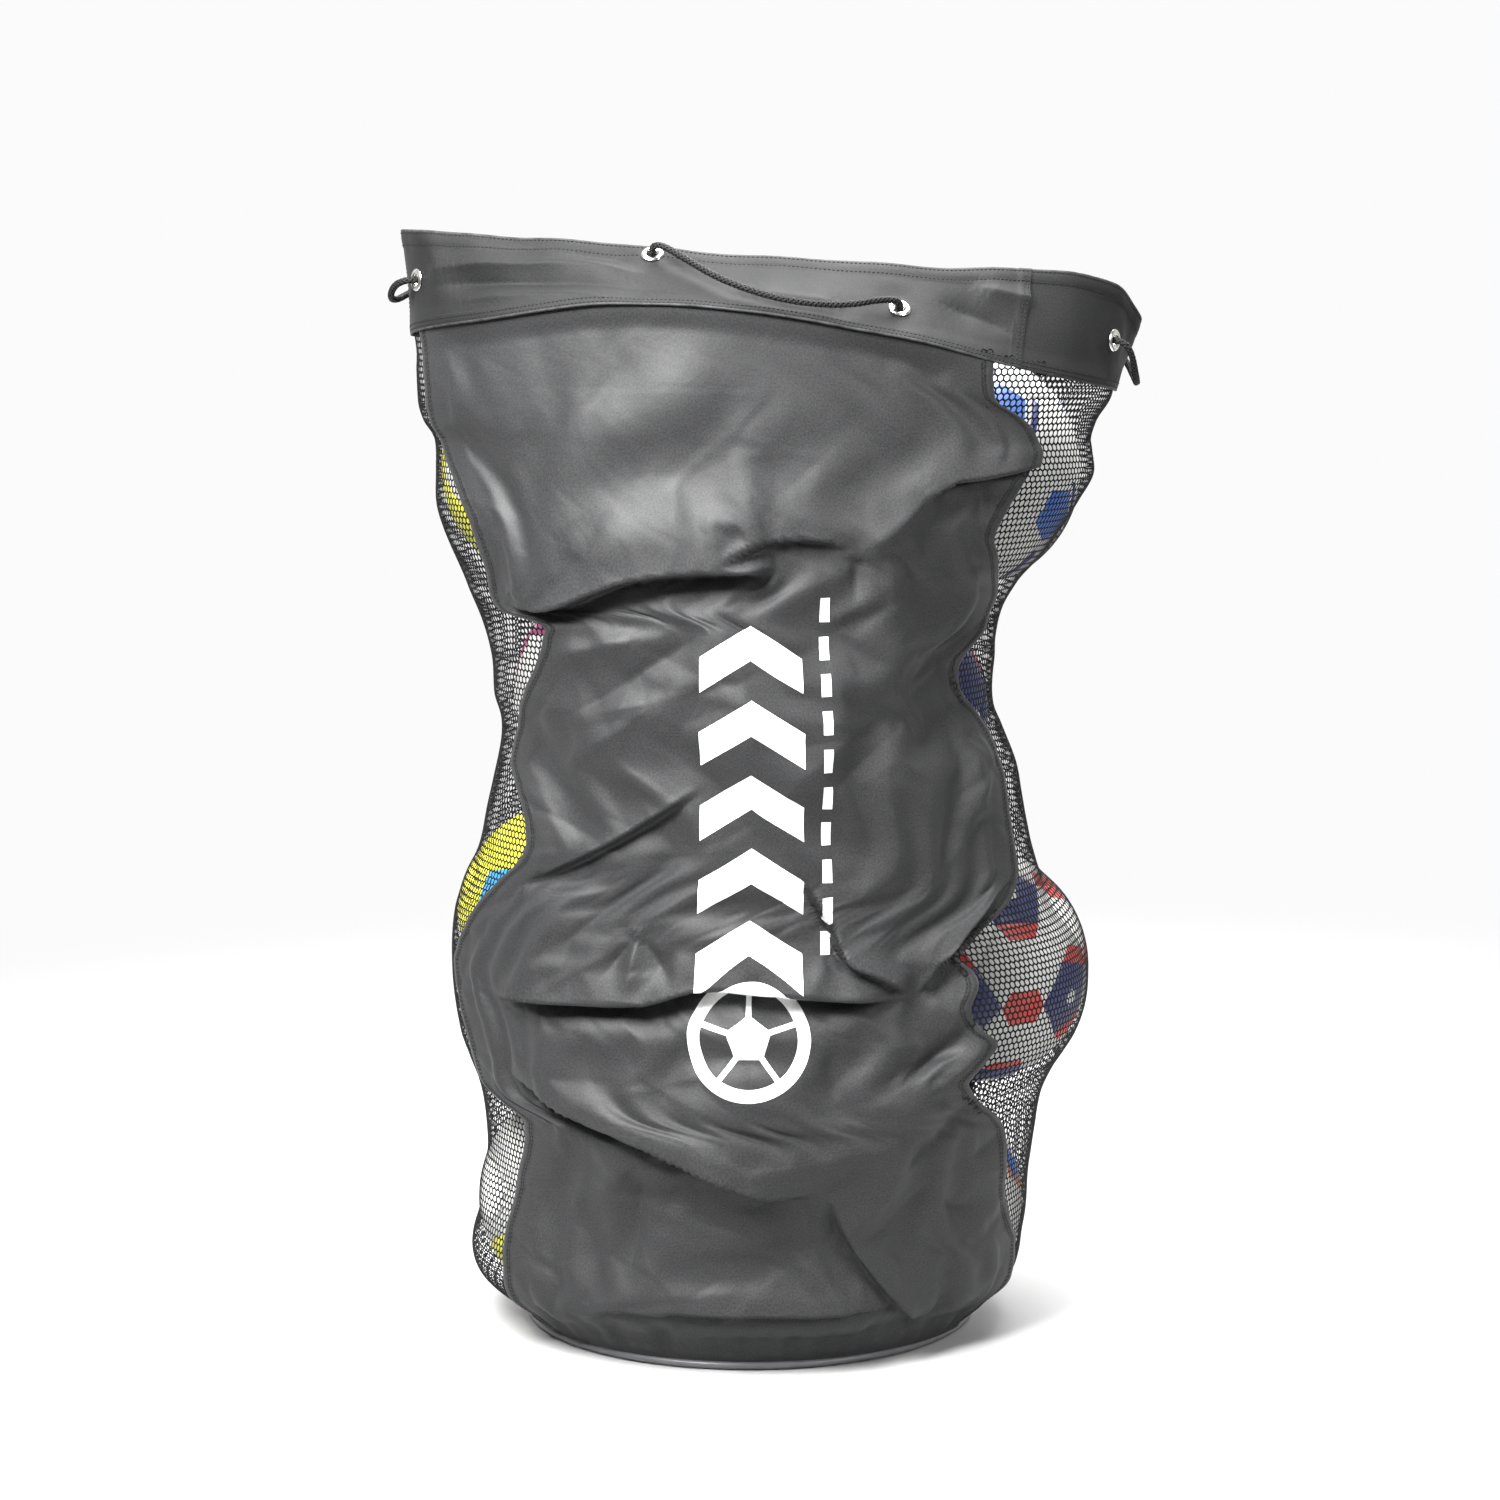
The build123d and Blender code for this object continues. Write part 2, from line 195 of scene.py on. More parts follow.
def seam_height(angle):
    """Height of the seam between the body and the collar."""
    return between(TURNED_HEIGHTS, np.mod(angle, 360), 1)


def body_point(angle, height):
    """Points of the sack's outer face below the collar, in millimetres."""
    angle = np.asarray(angle, float)
    height = np.broadcast_to(np.asarray(height, float), angle.shape)
    left, right = between(SECTIONS, height, 1), between(SECTIONS, height, 2)
    front, back = between(SECTIONS, height, 3), between(SECTIONS, height, 4)
    turn = np.radians(angle)
    depth = np.where(np.sin(turn) > 0, back, -front)
    across = (left + right) / 2 + (right - left) / 2 * np.cos(turn)
    return np.stack([across, depth * np.sin(turn), height], -1)


# How far the standing fabric lies inside the sections' left and right, by height.
TUCK_LEFT = [
    (11, -5), (40, -8), (60, -6), (80, -1), (100, 6), (125, 9), (160, 9), (205, 10), (226, 8), (245, 3),
    (270, -2), (340, -2), (383, 1), (400, 5), (420, 11), (445, 13), (480, 11), (535, 12), (558, 9), (582, 0),
    (618, -1), (650, -2), (680, -5), (718, -6), (750, -5), (785, 4), (812, 6), (828, -3), (848, -7), (906, 0),
]
TUCK_RIGHT = [
    (11, -6), (40, -7), (64, -3), (82, 0), (121, 2), (152, 4), (182, 9), (200, 13), (218, 15), (237, 12),
    (251, 7), (268, 2), (292, 1), (331, 5), (353, 8), (372, 12), (390, 18), (410, 21), (441, 18), (461, 14),
    (492, 8), (520, 5), (553, 9), (572, 13), (613, 11), (632, 14), (660, 17), (682, 14), (701, 11), (727, 14),
    (754, 8), (780, 1), (804, 8), (815, 11), (856, 2),
]
# The front panel's edges as the fabric stands, with the notches that its folds leave: height, angle.
LEFT_EDGE = [
    (11, 212), (40, 212), (74, 212), (102, 209.2), (144, 210), (166, 212.2), (185, 214.5), (205, 215.8),
    (217, 214.5), (230, 200), (245, 198), (270, 199), (309, 196), (340, 193.5), (356, 196), (371, 199),
    (386, 201.5), (400, 204), (425, 209.5), (442, 215), (460, 216.5), (480, 214.5), (496, 211), (517, 205.5),
    (528, 202.5), (547, 203.5), (567, 207.5), (586, 212), (606, 215.8), (630, 221), (643, 223), (655, 223.5),
    (664, 210), (673, 207.5), (700, 209.5), (744, 209.5), (760, 207), (778, 203.5), (794, 199.5),
    (812, 196.5), (840, 197), (866, 197), (900, 195), (945, 193.5),
]
RIGHT_EDGE = [
    (11, 334), (40, 341), (86, 341), (105, 336), (144, 330.5), (173, 329.2), (203, 326.8), (217, 322.8),
    (233, 316), (251, 310), (258, 308.8), (272, 310.5), (287, 313), (302, 309), (321, 306.4), (341, 308.8),
    (354, 308.8), (364, 307), (371, 309), (386, 315.8), (396, 322), (409, 329.2), (430, 334.5), (457, 335.8),
    (492, 336.5), (538, 336.8), (565, 336), (595, 327.5), (614, 325.5), (625, 327.5), (632, 331), (645, 337),
    (668, 337.5), (682, 334), (696, 328), (719, 321.2), (730, 318.5), (747, 318), (776, 318.8), (790, 321),
    (806, 323.3), (822, 321.2), (833, 317.8), (843, 313), (850, 310), (868, 308.2), (884, 307.5), (950, 304),
]


def skin_point(angle, height):
    """Points of the fabric below the collar as it stands, in millimetres."""
    angle = np.asarray(angle, float)
    height = np.broadcast_to(np.asarray(height, float), angle.shape)
    points = body_point(angle, height)
    share = (1 + np.cos(np.radians(angle))) / 2
    fade = 1 - smooth_step(height, seam_height(angle) - 30, seam_height(angle))
    inside = between(TUCK_LEFT, np.clip(height, 11, 906), 1) * (1 - share) \
        - between(TUCK_RIGHT, np.clip(height, 11, 856), 1) * share
    points[..., 0] += inside * fade
    return points


def smooth_step(value, low, high):
    """0 below low, 1 above high, and a smooth rise between them."""
    share = np.clip((value - low) / (high - low), 0, 1)
    return share * share * (3 - 2 * share)


def rim_point(angle):
    """Points of the collar's rim."""
    angle = np.asarray(angle, float)
    turn = np.radians(angle)
    depth = np.where(np.sin(turn) > 0, RIM_BACK, -RIM_FRONT)
    across = (RIM_LEFT + RIM_RIGHT) / 2 + (RIM_RIGHT - RIM_LEFT) / 2 * np.cos(turn)
    return np.stack([across, depth * np.sin(turn), between(TURNED_HEIGHTS, np.mod(angle, 360), 2)], -1)


def collar_surface(angle, rise):
    """Points of the collar: rise is 0 at its seam and 1 at its rim."""
    low = body_point(angle, seam_height(angle))
    return low + (rim_point(angle) - low) * np.asarray(rise, float)[..., None]


def unit(vectors):
    """Vectors scaled to a length of 1."""
    return vectors / np.maximum(np.linalg.norm(vectors, axis=-1, keepdims=True), 1e-12)


def collar_normal(angle, rise):
    """Outward directions of the collar."""
    angle, rise = np.asarray(angle, float), np.asarray(rise, float)
    along = collar_surface(angle + 1, rise) - collar_surface(angle - 1, rise)
    up = collar_surface(angle, rise + 0.02) - collar_surface(angle, rise - 0.02)
    return unit(np.cross(along, up))


def collar_point(angle, rise, out):
    """Points at some distance outside the collar."""
    return collar_surface(angle, rise) + collar_normal(angle, rise) * np.asarray(out, float)[..., None]


# ---------------------------------------------------------------- mesh and curve helpers


def new_mesh(name, vertices, faces, smooth=True):
    """A mesh piece from vertices in metres."""
    mesh = bpy.data.meshes.new(name)
    mesh.from_pydata([tuple(v) for v in vertices], [], [tuple(int(i) for i in f) for f in faces])
    mesh.validate()
    mesh.polygons.foreach_set("use_smooth", [smooth] * len(mesh.polygons))
    obj = bpy.data.objects.new(name, mesh)
    bpy.context.scene.collection.objects.link(obj)
    return obj


def grid_faces(rows, columns, keep=None, wrap=False):
    """Quads of a grid of rows by columns of vertices."""
    i, j = np.meshgrid(np.arange(rows - 1), np.arange(columns if wrap else columns - 1), indexing="ij")
    after = (j + 1) % columns
    low, high = i * columns, (i + 1) * columns
    quads = np.stack([low + j, low + after, high + after, high + j], -1).reshape(-1, 4)
    return quads if keep is None else quads[keep.reshape(-1)]


def set_value(obj, name, values):
    """A per-vertex number that a material can read."""
    layer = obj.data.attributes.new(name, "FLOAT", "POINT")
    layer.data.foreach_set("value", np.asarray(values, np.float32).ravel())


def nurbs(name, points):
    """An open NURBS curve of order 3 through the route's control points, in metres."""
    curve = bpy.data.curves.new(name, "CURVE")
    curve.dimensions = "3D"
    curve.resolution_u = 12
    spline = curve.splines.new("NURBS")
    spline.points.add(len(points) - 1)
    for point, place in zip(spline.points, points):
        point.co = (*place, 1)
    spline.order_u = 3
    spline.use_endpoint_u = True
    obj = bpy.data.objects.new(name, curve)
    bpy.context.scene.collection.objects.link(obj)
    return obj


def line_of(curve_obj):
    """The points of a curve's own line."""
    depsgraph = bpy.context.evaluated_depsgraph_get()
    mesh = bpy.data.meshes.new_from_object(curve_obj.evaluated_get(depsgraph))
    points = np.array([v.co for v in mesh.vertices])
    bpy.data.meshes.remove(mesh)
    return points


def resampled(points, step):
    """Points at even steps along a line."""
    lengths = np.r_[0, np.cumsum(np.linalg.norm(np.diff(points, axis=0), axis=1))]
    count = max(int(round(lengths[-1] / step)), 2)
    places = np.linspace(0, lengths[-1], count + 1)
    return np.stack([np.interp(places, lengths, points[:, k]) for k in range(3)], -1), places


def frames_along(points):
    """Two directions across a line at each of its points, which turn as little as they can."""
    tangents = unit(np.gradient(points, axis=0))
    side = np.cross(tangents[0], (0.3, 0.2, 0.9))
    sides = [side / np.linalg.norm(side)]
    for tangent in tangents[1:]:
        side = sides[-1] - tangent * np.dot(sides[-1], tangent)
        sides.append(side / np.linalg.norm(side))
    sides = np.array(sides)
    return sides, np.cross(tangents, sides)


def tube_mesh(line, radius, around, base=0):
    """Vertices and faces of a round tube with closed ends along a line."""
    first, second = frames_along(line)
    turns = np.linspace(0, 2 * math.pi, around, endpoint=False)
    ring = first[:, None] * np.cos(turns)[None, :, None] + second[:, None] * np.sin(turns)[None, :, None]
    radius = np.broadcast_to(np.asarray(radius, float), (len(line),))
    vertices = (line[:, None] + ring * radius[:, None, None]).reshape(-1, 3)
    vertices = np.vstack([vertices, line[0], line[-1]])
    faces = [tuple(q + base) for q in grid_faces(len(line), around, wrap=True)]
    count = len(line) * around
    for k in range(around):
        after = (k + 1) % around
        faces.append((base + count, base + after, base + k))
        faces.append((base + count + 1, base + count - around + k, base + count - around + after))
    return vertices, faces


# ---------------------------------------------------------------- the drawcord

TAIL_X, TAIL_Y, KNOT_Z = 24.0, 267.0, 648.0
TAIL_SPREAD = 3.7
CORD_RADIUS = 3.25
RIGHT_TAIL = [
    (TAIL_X + 2.6, TAIL_Y, KNOT_Z + 6),
    (TAIL_X + TAIL_SPREAD, TAIL_Y, KNOT_Z + 54),
    (TAIL_X + TAIL_SPREAD, TAIL_Y, KNOT_Z + 148),
    (TAIL_X + 15, TAIL_Y - 11, KNOT_Z + 198),
    (TAIL_X + 50, TAIL_Y - 31, KNOT_Z + 240),
]
# Angle, rise on the collar and distance out from it.
LACING = [
    (73, 0.45, 14), (69, 0.52, 9), (69, 0.52, -12), (65, 0.53, -16), (57, 0.54, -11), (46, 0.53, -11),
    (33, 0.50, -12), (24, 0.51, -15), (19, 0.52, -11),
    (19, 0.52, 9), (14, 0.46, 15), (6, 0.26, 17), (356, 0.16, 17), (348, 0.26, 16), (343.5, 0.40, 15),
    (341, 0.48, 9), (341, 0.48, -10),
    (335, 0.49, -15), (325, 0.46, -12), (311, 0.42, -11), (299, 0.40, -12), (294, 0.40, -16),
    (290, 0.40, -11), (290, 0.40, 9), (286.5, 0.32, 14), (281, 0.16, 12), (272, 0.10, 11),
    (263, 0.30, 11), (257, 0.62, 13), (253.5, 0.80, 15), (252, 0.86, 9), (252, 0.86, -10),
    (248, 0.85, -15), (241, 0.80, -12), (228, 0.70, -11), (213, 0.60, -11), (203, 0.53, -15),
    (197, 0.50, -11), (197, 0.50, 9), (192, 0.47, 15), (184, 0.38, 16), (174, 0.36, 16),
    (165.5, 0.45, 15), (160, 0.52, 9), (160, 0.52, -10),
    (154.5, 0.52, -12), (145, 0.53, -9), (132, 0.54, -9), (120, 0.53, -11), (111, 0.53, -16),
    (107, 0.52, -12), (107, 0.52, 9), (103, 0.45, 14),
]
LEFT_TAIL = [
    (TAIL_X - 48, TAIL_Y - 30, KNOT_Z + 244),
    (TAIL_X - 15, TAIL_Y - 11, KNOT_Z + 199),
    (TAIL_X - TAIL_SPREAD, TAIL_Y, KNOT_Z + 148),
    (TAIL_X - TAIL_SPREAD, TAIL_Y, KNOT_Z + 54),
    (TAIL_X - 2.6, TAIL_Y, KNOT_Z + 6),
]
BRAID_PITCH = 17 * MM
STRANDS = 4          # each way round
# Shares of the cord's radius: its core, a strand, and a strand's mean distance out and its swing.
CORE_SHARE, STRAND_SHARE, STRAND_OUT, STRAND_SWING = 0.66, 0.285, 0.70, 0.07


def braided(name, line, radius, pitch):
    """A braided cord along a line: a core, and strands that cross over and under each other."""
    points, places = resampled(line, pitch / 11)
    first, second = frames_along(points)
    vertices, faces = tube_mesh(points, CORE_SHARE * radius, 8)
    for way in (-1, 1):
        for strand in range(STRANDS):
            turn = way * 2 * math.pi * places / pitch + 2 * math.pi * strand / STRANDS
            weave = np.cos(STRANDS * (turn - way * math.pi / (2 * STRANDS))) * way
            reach = radius * (STRAND_OUT + STRAND_SWING * weave)
            shape = points + (first * np.cos(turn)[:, None] + second * np.sin(turn)[:, None]) * reach[:, None]
            ends = np.ones(len(shape))
            ends[:2] = ends[-2:] = 0.6
            more, quads = tube_mesh(shape, STRAND_SHARE * radius * ends, 5, base=len(vertices))
            vertices = np.vstack([vertices, more])
            faces += quads
    return new_mesh(name, vertices, faces)


def cord_knot():
    """An overhand knot where the two tails meet, and the two cut ends under it."""
    turn = np.linspace(0, 2 * math.pi, 90)
    ring = np.stack([np.sin(turn) + 1.7 * np.sin(2 * turn), 0.9 * np.sin(3 * turn),
                     np.cos(turn) - 1.7 * np.cos(2 * turn)], -1)
    loop = ring * 3.3 * MM + np.array([TAIL_X, TAIL_Y, KNOT_Z - 1.5]) * MM
    knot = [braided("cord_end_knot_loop", loop, CORD_RADIUS * MM, BRAID_PITCH)]
    for word, side in (("left", -1), ("right", 1)):
        end = [[TAIL_X + side * out, TAIL_Y, KNOT_Z - down] for out, down in ((1.5, 5), (4, 16), (6.2, 28))]
        knot.append(braided(f"cord_cut_end_{word}", np.array(end) * MM, 0.94 * CORD_RADIUS * MM, BRAID_PITCH))
    return knot


lacing = [tuple(collar_point(*row)) for row in LACING]
route = nurbs("drawcord_route", [tuple(c * MM for c in p) for p in RIGHT_TAIL + lacing + LEFT_TAIL])
cord_line = line_of(route)
bpy.data.objects.remove(route)
drawcord = braided("drawcord_braid", cord_line, CORD_RADIUS * MM, BRAID_PITCH)
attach(drawcord, "bag")
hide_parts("drawcord")
knot_pieces = cord_knot()
for piece in knot_pieces:
    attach(piece, "bag")
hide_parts("cord_end_knot")

# ---------------------------------------------------------------- materials


class Recipe:
    """Builds one node material. Each step returns a socket that later steps can use."""

    def __init__(self, name, roughness=0.5, **shader):
        self.material = bpy.data.materials.new(name)
        self.material.use_nodes = True
        self.nodes = self.material.node_tree.nodes
        self.links = self.material.node_tree.links
        self.shader = self.nodes["Principled BSDF"]
        self.set("Roughness", roughness)
        for key, value in shader.items():
            self.set(key.replace("_", " "), value)

    def set(self, socket, value):
        """Fills one of the shader's sockets."""
        self.fill(self.shader.inputs[socket], value)

    def fill(self, socket, value):
        """A number, a colour or another node's output into a socket."""
        if isinstance(value, bpy.types.NodeSocket):
            self.links.new(value, socket)
        elif value is not None:
            socket.default_value = (*value, 1) if hasattr(value, "__len__") and len(value) == 3 and \
                socket.type == "RGBA" else value

    def add(self, kind, *values, out=0, **settings):
        """A new node's output. Values fill its first sockets, settings its properties or named sockets."""
        node = self.nodes.new("ShaderNode" + kind)
        for key, value in settings.items():
            if key in node.bl_rna.properties:
                setattr(node, key, value)
            else:
                self.fill(node.inputs[key.replace("_", " ")], value)
        for socket, value in zip(node.inputs, values):
            self.fill(socket, value)
        return node.outputs[out]

    def math(self, operation, *values):
        return self.add("Math", *values, operation=operation)

    def times(self, *values):
        return self.math("MULTIPLY", *values)

    def plus(self, *values):
        return self.math("ADD", *values)

    def minus(self, *values):
        return self.math("SUBTRACT", *values)

    def below(self, *values):
        """1 where the first value is below the second, 0 elsewhere."""
        return self.math("LESS_THAN", *values)

    def above(self, *values):
        return self.math("GREATER_THAN", *values)

    def within(self, value, half):
        """1 where a value is less than half away from 0."""
        return self.below(self.math("ABSOLUTE", value), half)

    def value(self, name):
        """A per-vertex number of the piece."""
        return self.add("Attribute", out=2, attribute_name=name)

    def position(self):
        return self.add("TexCoord", out=3)

    def noise(self, where, scale, detail=2.0, roughness=0.5):
        return self.add("TexNoise", Vector=where, Scale=scale, Detail=detail, Roughness=roughness)

    def spread(self, share, low, high):
        """Noise, most of which lies between 0.3 and 0.7, spread from low to high."""
        return self.add("MapRange", share, 0.3, 0.7, low, high)

    def mix(self, share, one, other):
        node = self.nodes.new("ShaderNodeMix")
        node.data_type = "RGBA"
        self.fill(node.inputs[0], share)
        self.fill(node.inputs[6], one)
        self.fill(node.inputs[7], other)
        return node.outputs[2]

    def mottled(self, where, scale, low, high, detail=2.0):
        """A colour that drifts between two over the surface."""
        return self.mix(self.spread(self.noise(where, scale, detail), 0.0, 1.0), low, high)

    def bump(self, *layers):
        """Bumps laid over each other, each a height in metres, from the coarsest to the finest."""
        normal = None
        for height in layers:
            node = self.nodes.new("ShaderNodeBump")
            node.inputs["Strength"].default_value = 1.0
            node.inputs["Distance"].default_value = 1.0
            self.fill(node.inputs["Height"], height)
            if normal is not None:
                self.links.new(normal, node.inputs["Normal"])
            normal = node.outputs[0]
        self.set("Normal", normal)


def woven(recipe, pitch, depth, across="cloth_u", along="cloth_v"):
    """The height of a plain weave of threads that pass over and under each other."""
    u = recipe.times(recipe.value(across), math.pi / pitch)
    v = recipe.times(recipe.value(along), math.pi / pitch)
    over = recipe.times(recipe.math("SINE", u), recipe.math("SINE", v))
    return recipe.times(over, depth)


def cloth_place(recipe):
    """Where a point is on its cloth, in metres."""
    return recipe.add("CombineXYZ", recipe.value("cloth_u"), recipe.value("cloth_v"), 0.0)


# ---------------------------------------------------------------- shaping the fabric

HEM = 13.0
HEM_THICK = 1.5
STITCH_LINES = (8.5, 11.5)
SEAM_DEPTH = 0.4          # of the groove that a row of stitches pulls
# A hem's step over the single cloth, and the height, middle and width of the puff between edge and stitches.
HEM_STEP, PUFF_HEIGHT, PUFF_MIDDLE, PUFF_WIDTH = 0.55, 0.3, 4.5, 3
BALL_RADIUS = 109.0
BALL_COUNT = 14
ball_boxes = [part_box(f"ball_{number:02d}") for number in range(1, BALL_COUNT + 1)]
ball_centres = np.array([(np.array(low) + np.array(high)) / 2 / MM for low, high in ball_boxes])
BALL_BLEND = 9.0          # over which the gaps to two near balls run into each other
# How far settled cloth may lie inside and outside the standing fabric.
MOST_DEEP, MOST_PROUD = 34.0, 11.0
FAR_OFF = 300             # a gap beyond which a ball no longer counts


def skin_normal(angle, height):
    """Outward directions of the standing fabric."""
    along = skin_point(angle + 0.5, height) - skin_point(angle - 0.5, height)
    up = skin_point(angle, height + 2.0) - skin_point(angle, height - 2.0)
    return unit(np.cross(along, up))


def ball_gap(points):
    """How far points are from the nearest football, blended where two are near."""
    away = np.linalg.norm(points[..., None, :] - ball_centres, axis=-1) - BALL_RADIUS
    return -BALL_BLEND * np.log(np.exp(-np.minimum(away, FAR_OFF) / BALL_BLEND).sum(-1))


def pulled_in(points, normals, cap, clear=2.5):
    """Fabric that is drawn in between the footballs behind it, by up to cap, and rests on them."""
    gap = ball_gap(points) - clear
    inward = np.where(gap > 0, cap * (1 - np.exp(-np.maximum(gap, 0) / cap)), gap)
    return points - normals * inward[..., None]


def cell_creases(u, v, seed):
    """Creases between cells of a scattered plane: 0 in a crease, rising into each cell."""
    scatter = np.random.default_rng(seed).uniform(0.08, 0.92, (64, 64, 2))
    column, row = np.floor(u).astype(int), np.floor(v).astype(int)
    away = []
    for i in (-1, 0, 1):
        for j in (-1, 0, 1):
            place = scatter[(column + i) % 64, (row + j) % 64]
            away.append(np.hypot(column + i + place[..., 0] - u, row + j + place[..., 1] - v))
    away = np.sort(np.array(away), 0)
    return away[1] - away[0]


CREASE_WIDTH = 0.2        # as a share of a cell


def crumpled(u, v, size, seed):
    """Facets of crumpled coated cloth, from -1 in the valleys to 1 on the ridges."""
    lean = math.radians(24 if seed % 2 else -32)
    x = (u * math.cos(lean) + v * math.sin(lean)) / size
    y = (v * math.cos(lean) - u * math.sin(lean)) / (0.58 * size)
    x, y = x + 0.25 * np.sin(1.7 * y + seed), y + 0.25 * np.sin(1.3 * x + 2 * seed)
    low, high = cell_creases(x, y, seed), cell_creases(x + 17.3, y + 9.1, seed + 50)
    return np.exp(-high / CREASE_WIDTH) - np.exp(-low / CREASE_WIDTH)


def read_along(values, places):
    """Values along their first axis at fractional places, rounded between neighbours."""
    last = len(values) - 1
    low = np.clip(np.floor(places).astype(int), 0, last - 1)
    t = (places - low).reshape(-1, *[1] * (values.ndim - 1))
    a, b, c, d = (values[np.clip(low + k, 0, last)] for k in (-1, 0, 1, 2))
    return b + 0.5 * ((c - a) * t + (2 * a - 5 * b + 4 * c - d) * t ** 2 + (3 * b - a - 3 * c + d) * t ** 3)


def to_even(grid, rows, shares, size):
    """A panel's grid read at even rows and columns. rows and shares tell where its points are."""
    across = np.linspace(0, 1, size[1])
    lines = np.stack([read_along(line, np.interp(across, share, np.arange(len(share))))
                      for line, share in zip(grid, shares)])
    return read_along(lines, np.interp(np.linspace(0, 1, size[0]), rows, np.arange(len(rows))))


def from_even(grid, rows, shares):
    """The reverse of to_even."""
    lines = read_along(grid, rows * (len(grid) - 1))
    return np.stack([read_along(line, share * (grid.shape[1] - 1)) for line, share in zip(lines, shares)])


def neighbours(grid, up, across):
    """The two overlapping parts of a grid whose points are some rows and columns apart."""
    rows, columns = grid.shape[:2]
    return (grid[:rows - up, max(-across, 0):columns - max(across, 0)],
            grid[up:, max(across, 0):columns + min(across, 0)])


def slack_towards(pinches, x, z, even):
    """Extra length along rows, columns and both diagonals, so that folds run to the pinched points."""
    along, up, lean = even + 0 * x, even + 0 * x, 0 * x
    for place_x, place_z, amount, reach in pinches:
        heading = np.arctan2(z - place_z, x - place_x)
        part = amount * np.exp(-np.hypot(x - place_x, z - place_z) / reach)
        along += part * np.sin(heading) ** 2
        up += part * np.cos(heading) ** 2
        lean += part * np.sin(heading) * np.cos(heading)
    return along, up, (along + up) / 2 - lean, (along + up) / 2 + lean


def off_balls(points, clear):
    """Points moved out of the nearest football until they clear it."""
    away = points[..., None, :] - ball_centres
    far = np.linalg.norm(away, axis=-1)
    nearest = far.argmin(-1)[..., None]
    towards = np.take_along_axis(away, nearest[..., None], -2)[..., 0, :]
    far = np.take_along_axis(far, nearest, -1)
    return points + towards / far * np.maximum(BALL_RADIUS + clear - far, 0)


# Rows and columns between the points that a thread joins: across, up and both diagonals.
THREADS = [(0, 1), (1, 0), (1, 1), (1, -1)]
# Rows and columns, rounds, stiffness against bending, and share of the slack, from coarse to fine.
DRAPE_STAGES = [((44, 28), 340, 0.03, 1.0), ((88, 56), 160, 0.12, 0.8), ((176, 112), 60, 0.2, 0.5),
                ((300, 190), 16, 0.2, 0.4)]
THREAD_GIVE = 0.25        # share of a thread's error that each of its ends takes up in a round
BEND_SLACK = 1.02
SINKING = 0.01            # each round, from the cloth's weight
DRAPE_CLEAR, PANEL_CLEAR = 2.2, 2.0       # from the balls, while the cloth settles and after it


def settled(points, normals, skin, held, slack, rows, shares):
    """Where cloth with some slack comes to rest over the footballs, from coarse to fine."""
    rows = (rows - rows[0]) / (rows[-1] - rows[0])
    moved = np.zeros_like(points)
    for size, rounds, stiff, loosened in DRAPE_STAGES:
        start, base = to_even(points, rows, shares, size), to_even(skin, rows, shares, size)
        facing = unit(to_even(normals, rows, shares, size))
        hold = np.clip(to_even(held[..., None], rows, shares, size), 0, 1)
        cloth = start + to_even(moved, rows, shares, size)
        springs = []
        for (up, across), extra in zip(THREADS, slack):
            first, second = neighbours(start, up, across)
            length = np.linalg.norm(second - first, axis=-1, keepdims=True)
            share = neighbours(to_even(extra[..., None], rows, shares, size), up, across)[0]
            springs.append((up, across, length * (1 + share * loosened), THREAD_GIVE))
        for up, across in ((0, 2), (2, 0)):
            first, second = neighbours(start, up, across)
            length = np.linalg.norm(second - first, axis=-1, keepdims=True)
            springs.append((up, across, BEND_SLACK * length, stiff))
        for turn in range(rounds):
            for up, across, rest, give in springs:
                first, second = neighbours(cloth, up, across)
                gap = second - first
                length = np.linalg.norm(gap, axis=-1, keepdims=True)
                push = gap * (give * (1 - rest / length))
                first += push
                second -= push
            cloth[..., 2] -= SINKING * (1 - hold[..., 0])
            cloth += (start - cloth) * hold
            if turn % 4 == 1:
                side = ((cloth - base) * facing).sum(-1, keepdims=True)
                cloth -= facing * (np.maximum(side - MOST_PROUD, 0) - np.maximum(-MOST_DEEP - side, 0))
                cloth = off_balls(cloth, DRAPE_CLEAR)
        moved = from_even(cloth - start, rows, shares)
    return points + moved


def smooth_route(points, step=3.0):
    """A route rounded between its points, in even steps."""
    points = np.asarray(points, float)
    rows = np.column_stack([np.arange(len(points)), points])
    fine = np.linspace(0, len(points) - 1, 24 * len(points))
    line = np.stack([between(rows, fine, k) for k in range(1, rows.shape[1])], -1)
    lengths = np.r_[0, np.cumsum(np.linalg.norm(np.diff(line, axis=0), axis=1))]
    places = np.linspace(0, lengths[-1], max(int(lengths[-1] / step), 4))
    return np.stack([np.interp(places, lengths, line[:, k]) for k in range(line.shape[1])], -1)


def along_stroke(x, z, points):
    """Signed distance from a stroke, the share of its length, and how far a point is past its ends."""
    line = smooth_route(points)
    heading = unit(np.gradient(line, axis=0))
    place = np.stack([x, z], -1)
    nearest = np.argmin(((place[..., None, :] - line) ** 2).sum(-1), -1)
    offset = place - line[nearest]
    tangent = heading[nearest]
    side = tangent[..., 0] * offset[..., 1] - tangent[..., 1] * offset[..., 0]
    ahead = (tangent * offset).sum(-1)
    past = np.where((nearest == 0) & (ahead < 0) | (nearest == len(line) - 1) & (ahead > 0), np.abs(ahead), 0)
    return side, nearest / (len(line) - 1), past


def taper(share, start, end):
    """Strength along a stroke: start and end are the shares over which it fades in and out."""
    fade_in = smooth_step(share, 0, start) if start > 0 else 1.0
    fade_out = smooth_step(1 - share, 0, end) if end > 0 else 1.0
    return fade_in * fade_out


def ridge(side, width):
    """A crease's height by the distance from its line."""
    return np.exp(-np.sqrt((side / width) ** 2 + 0.03) * 1.15) * 1.22


FOLD_GAIN = 1.55


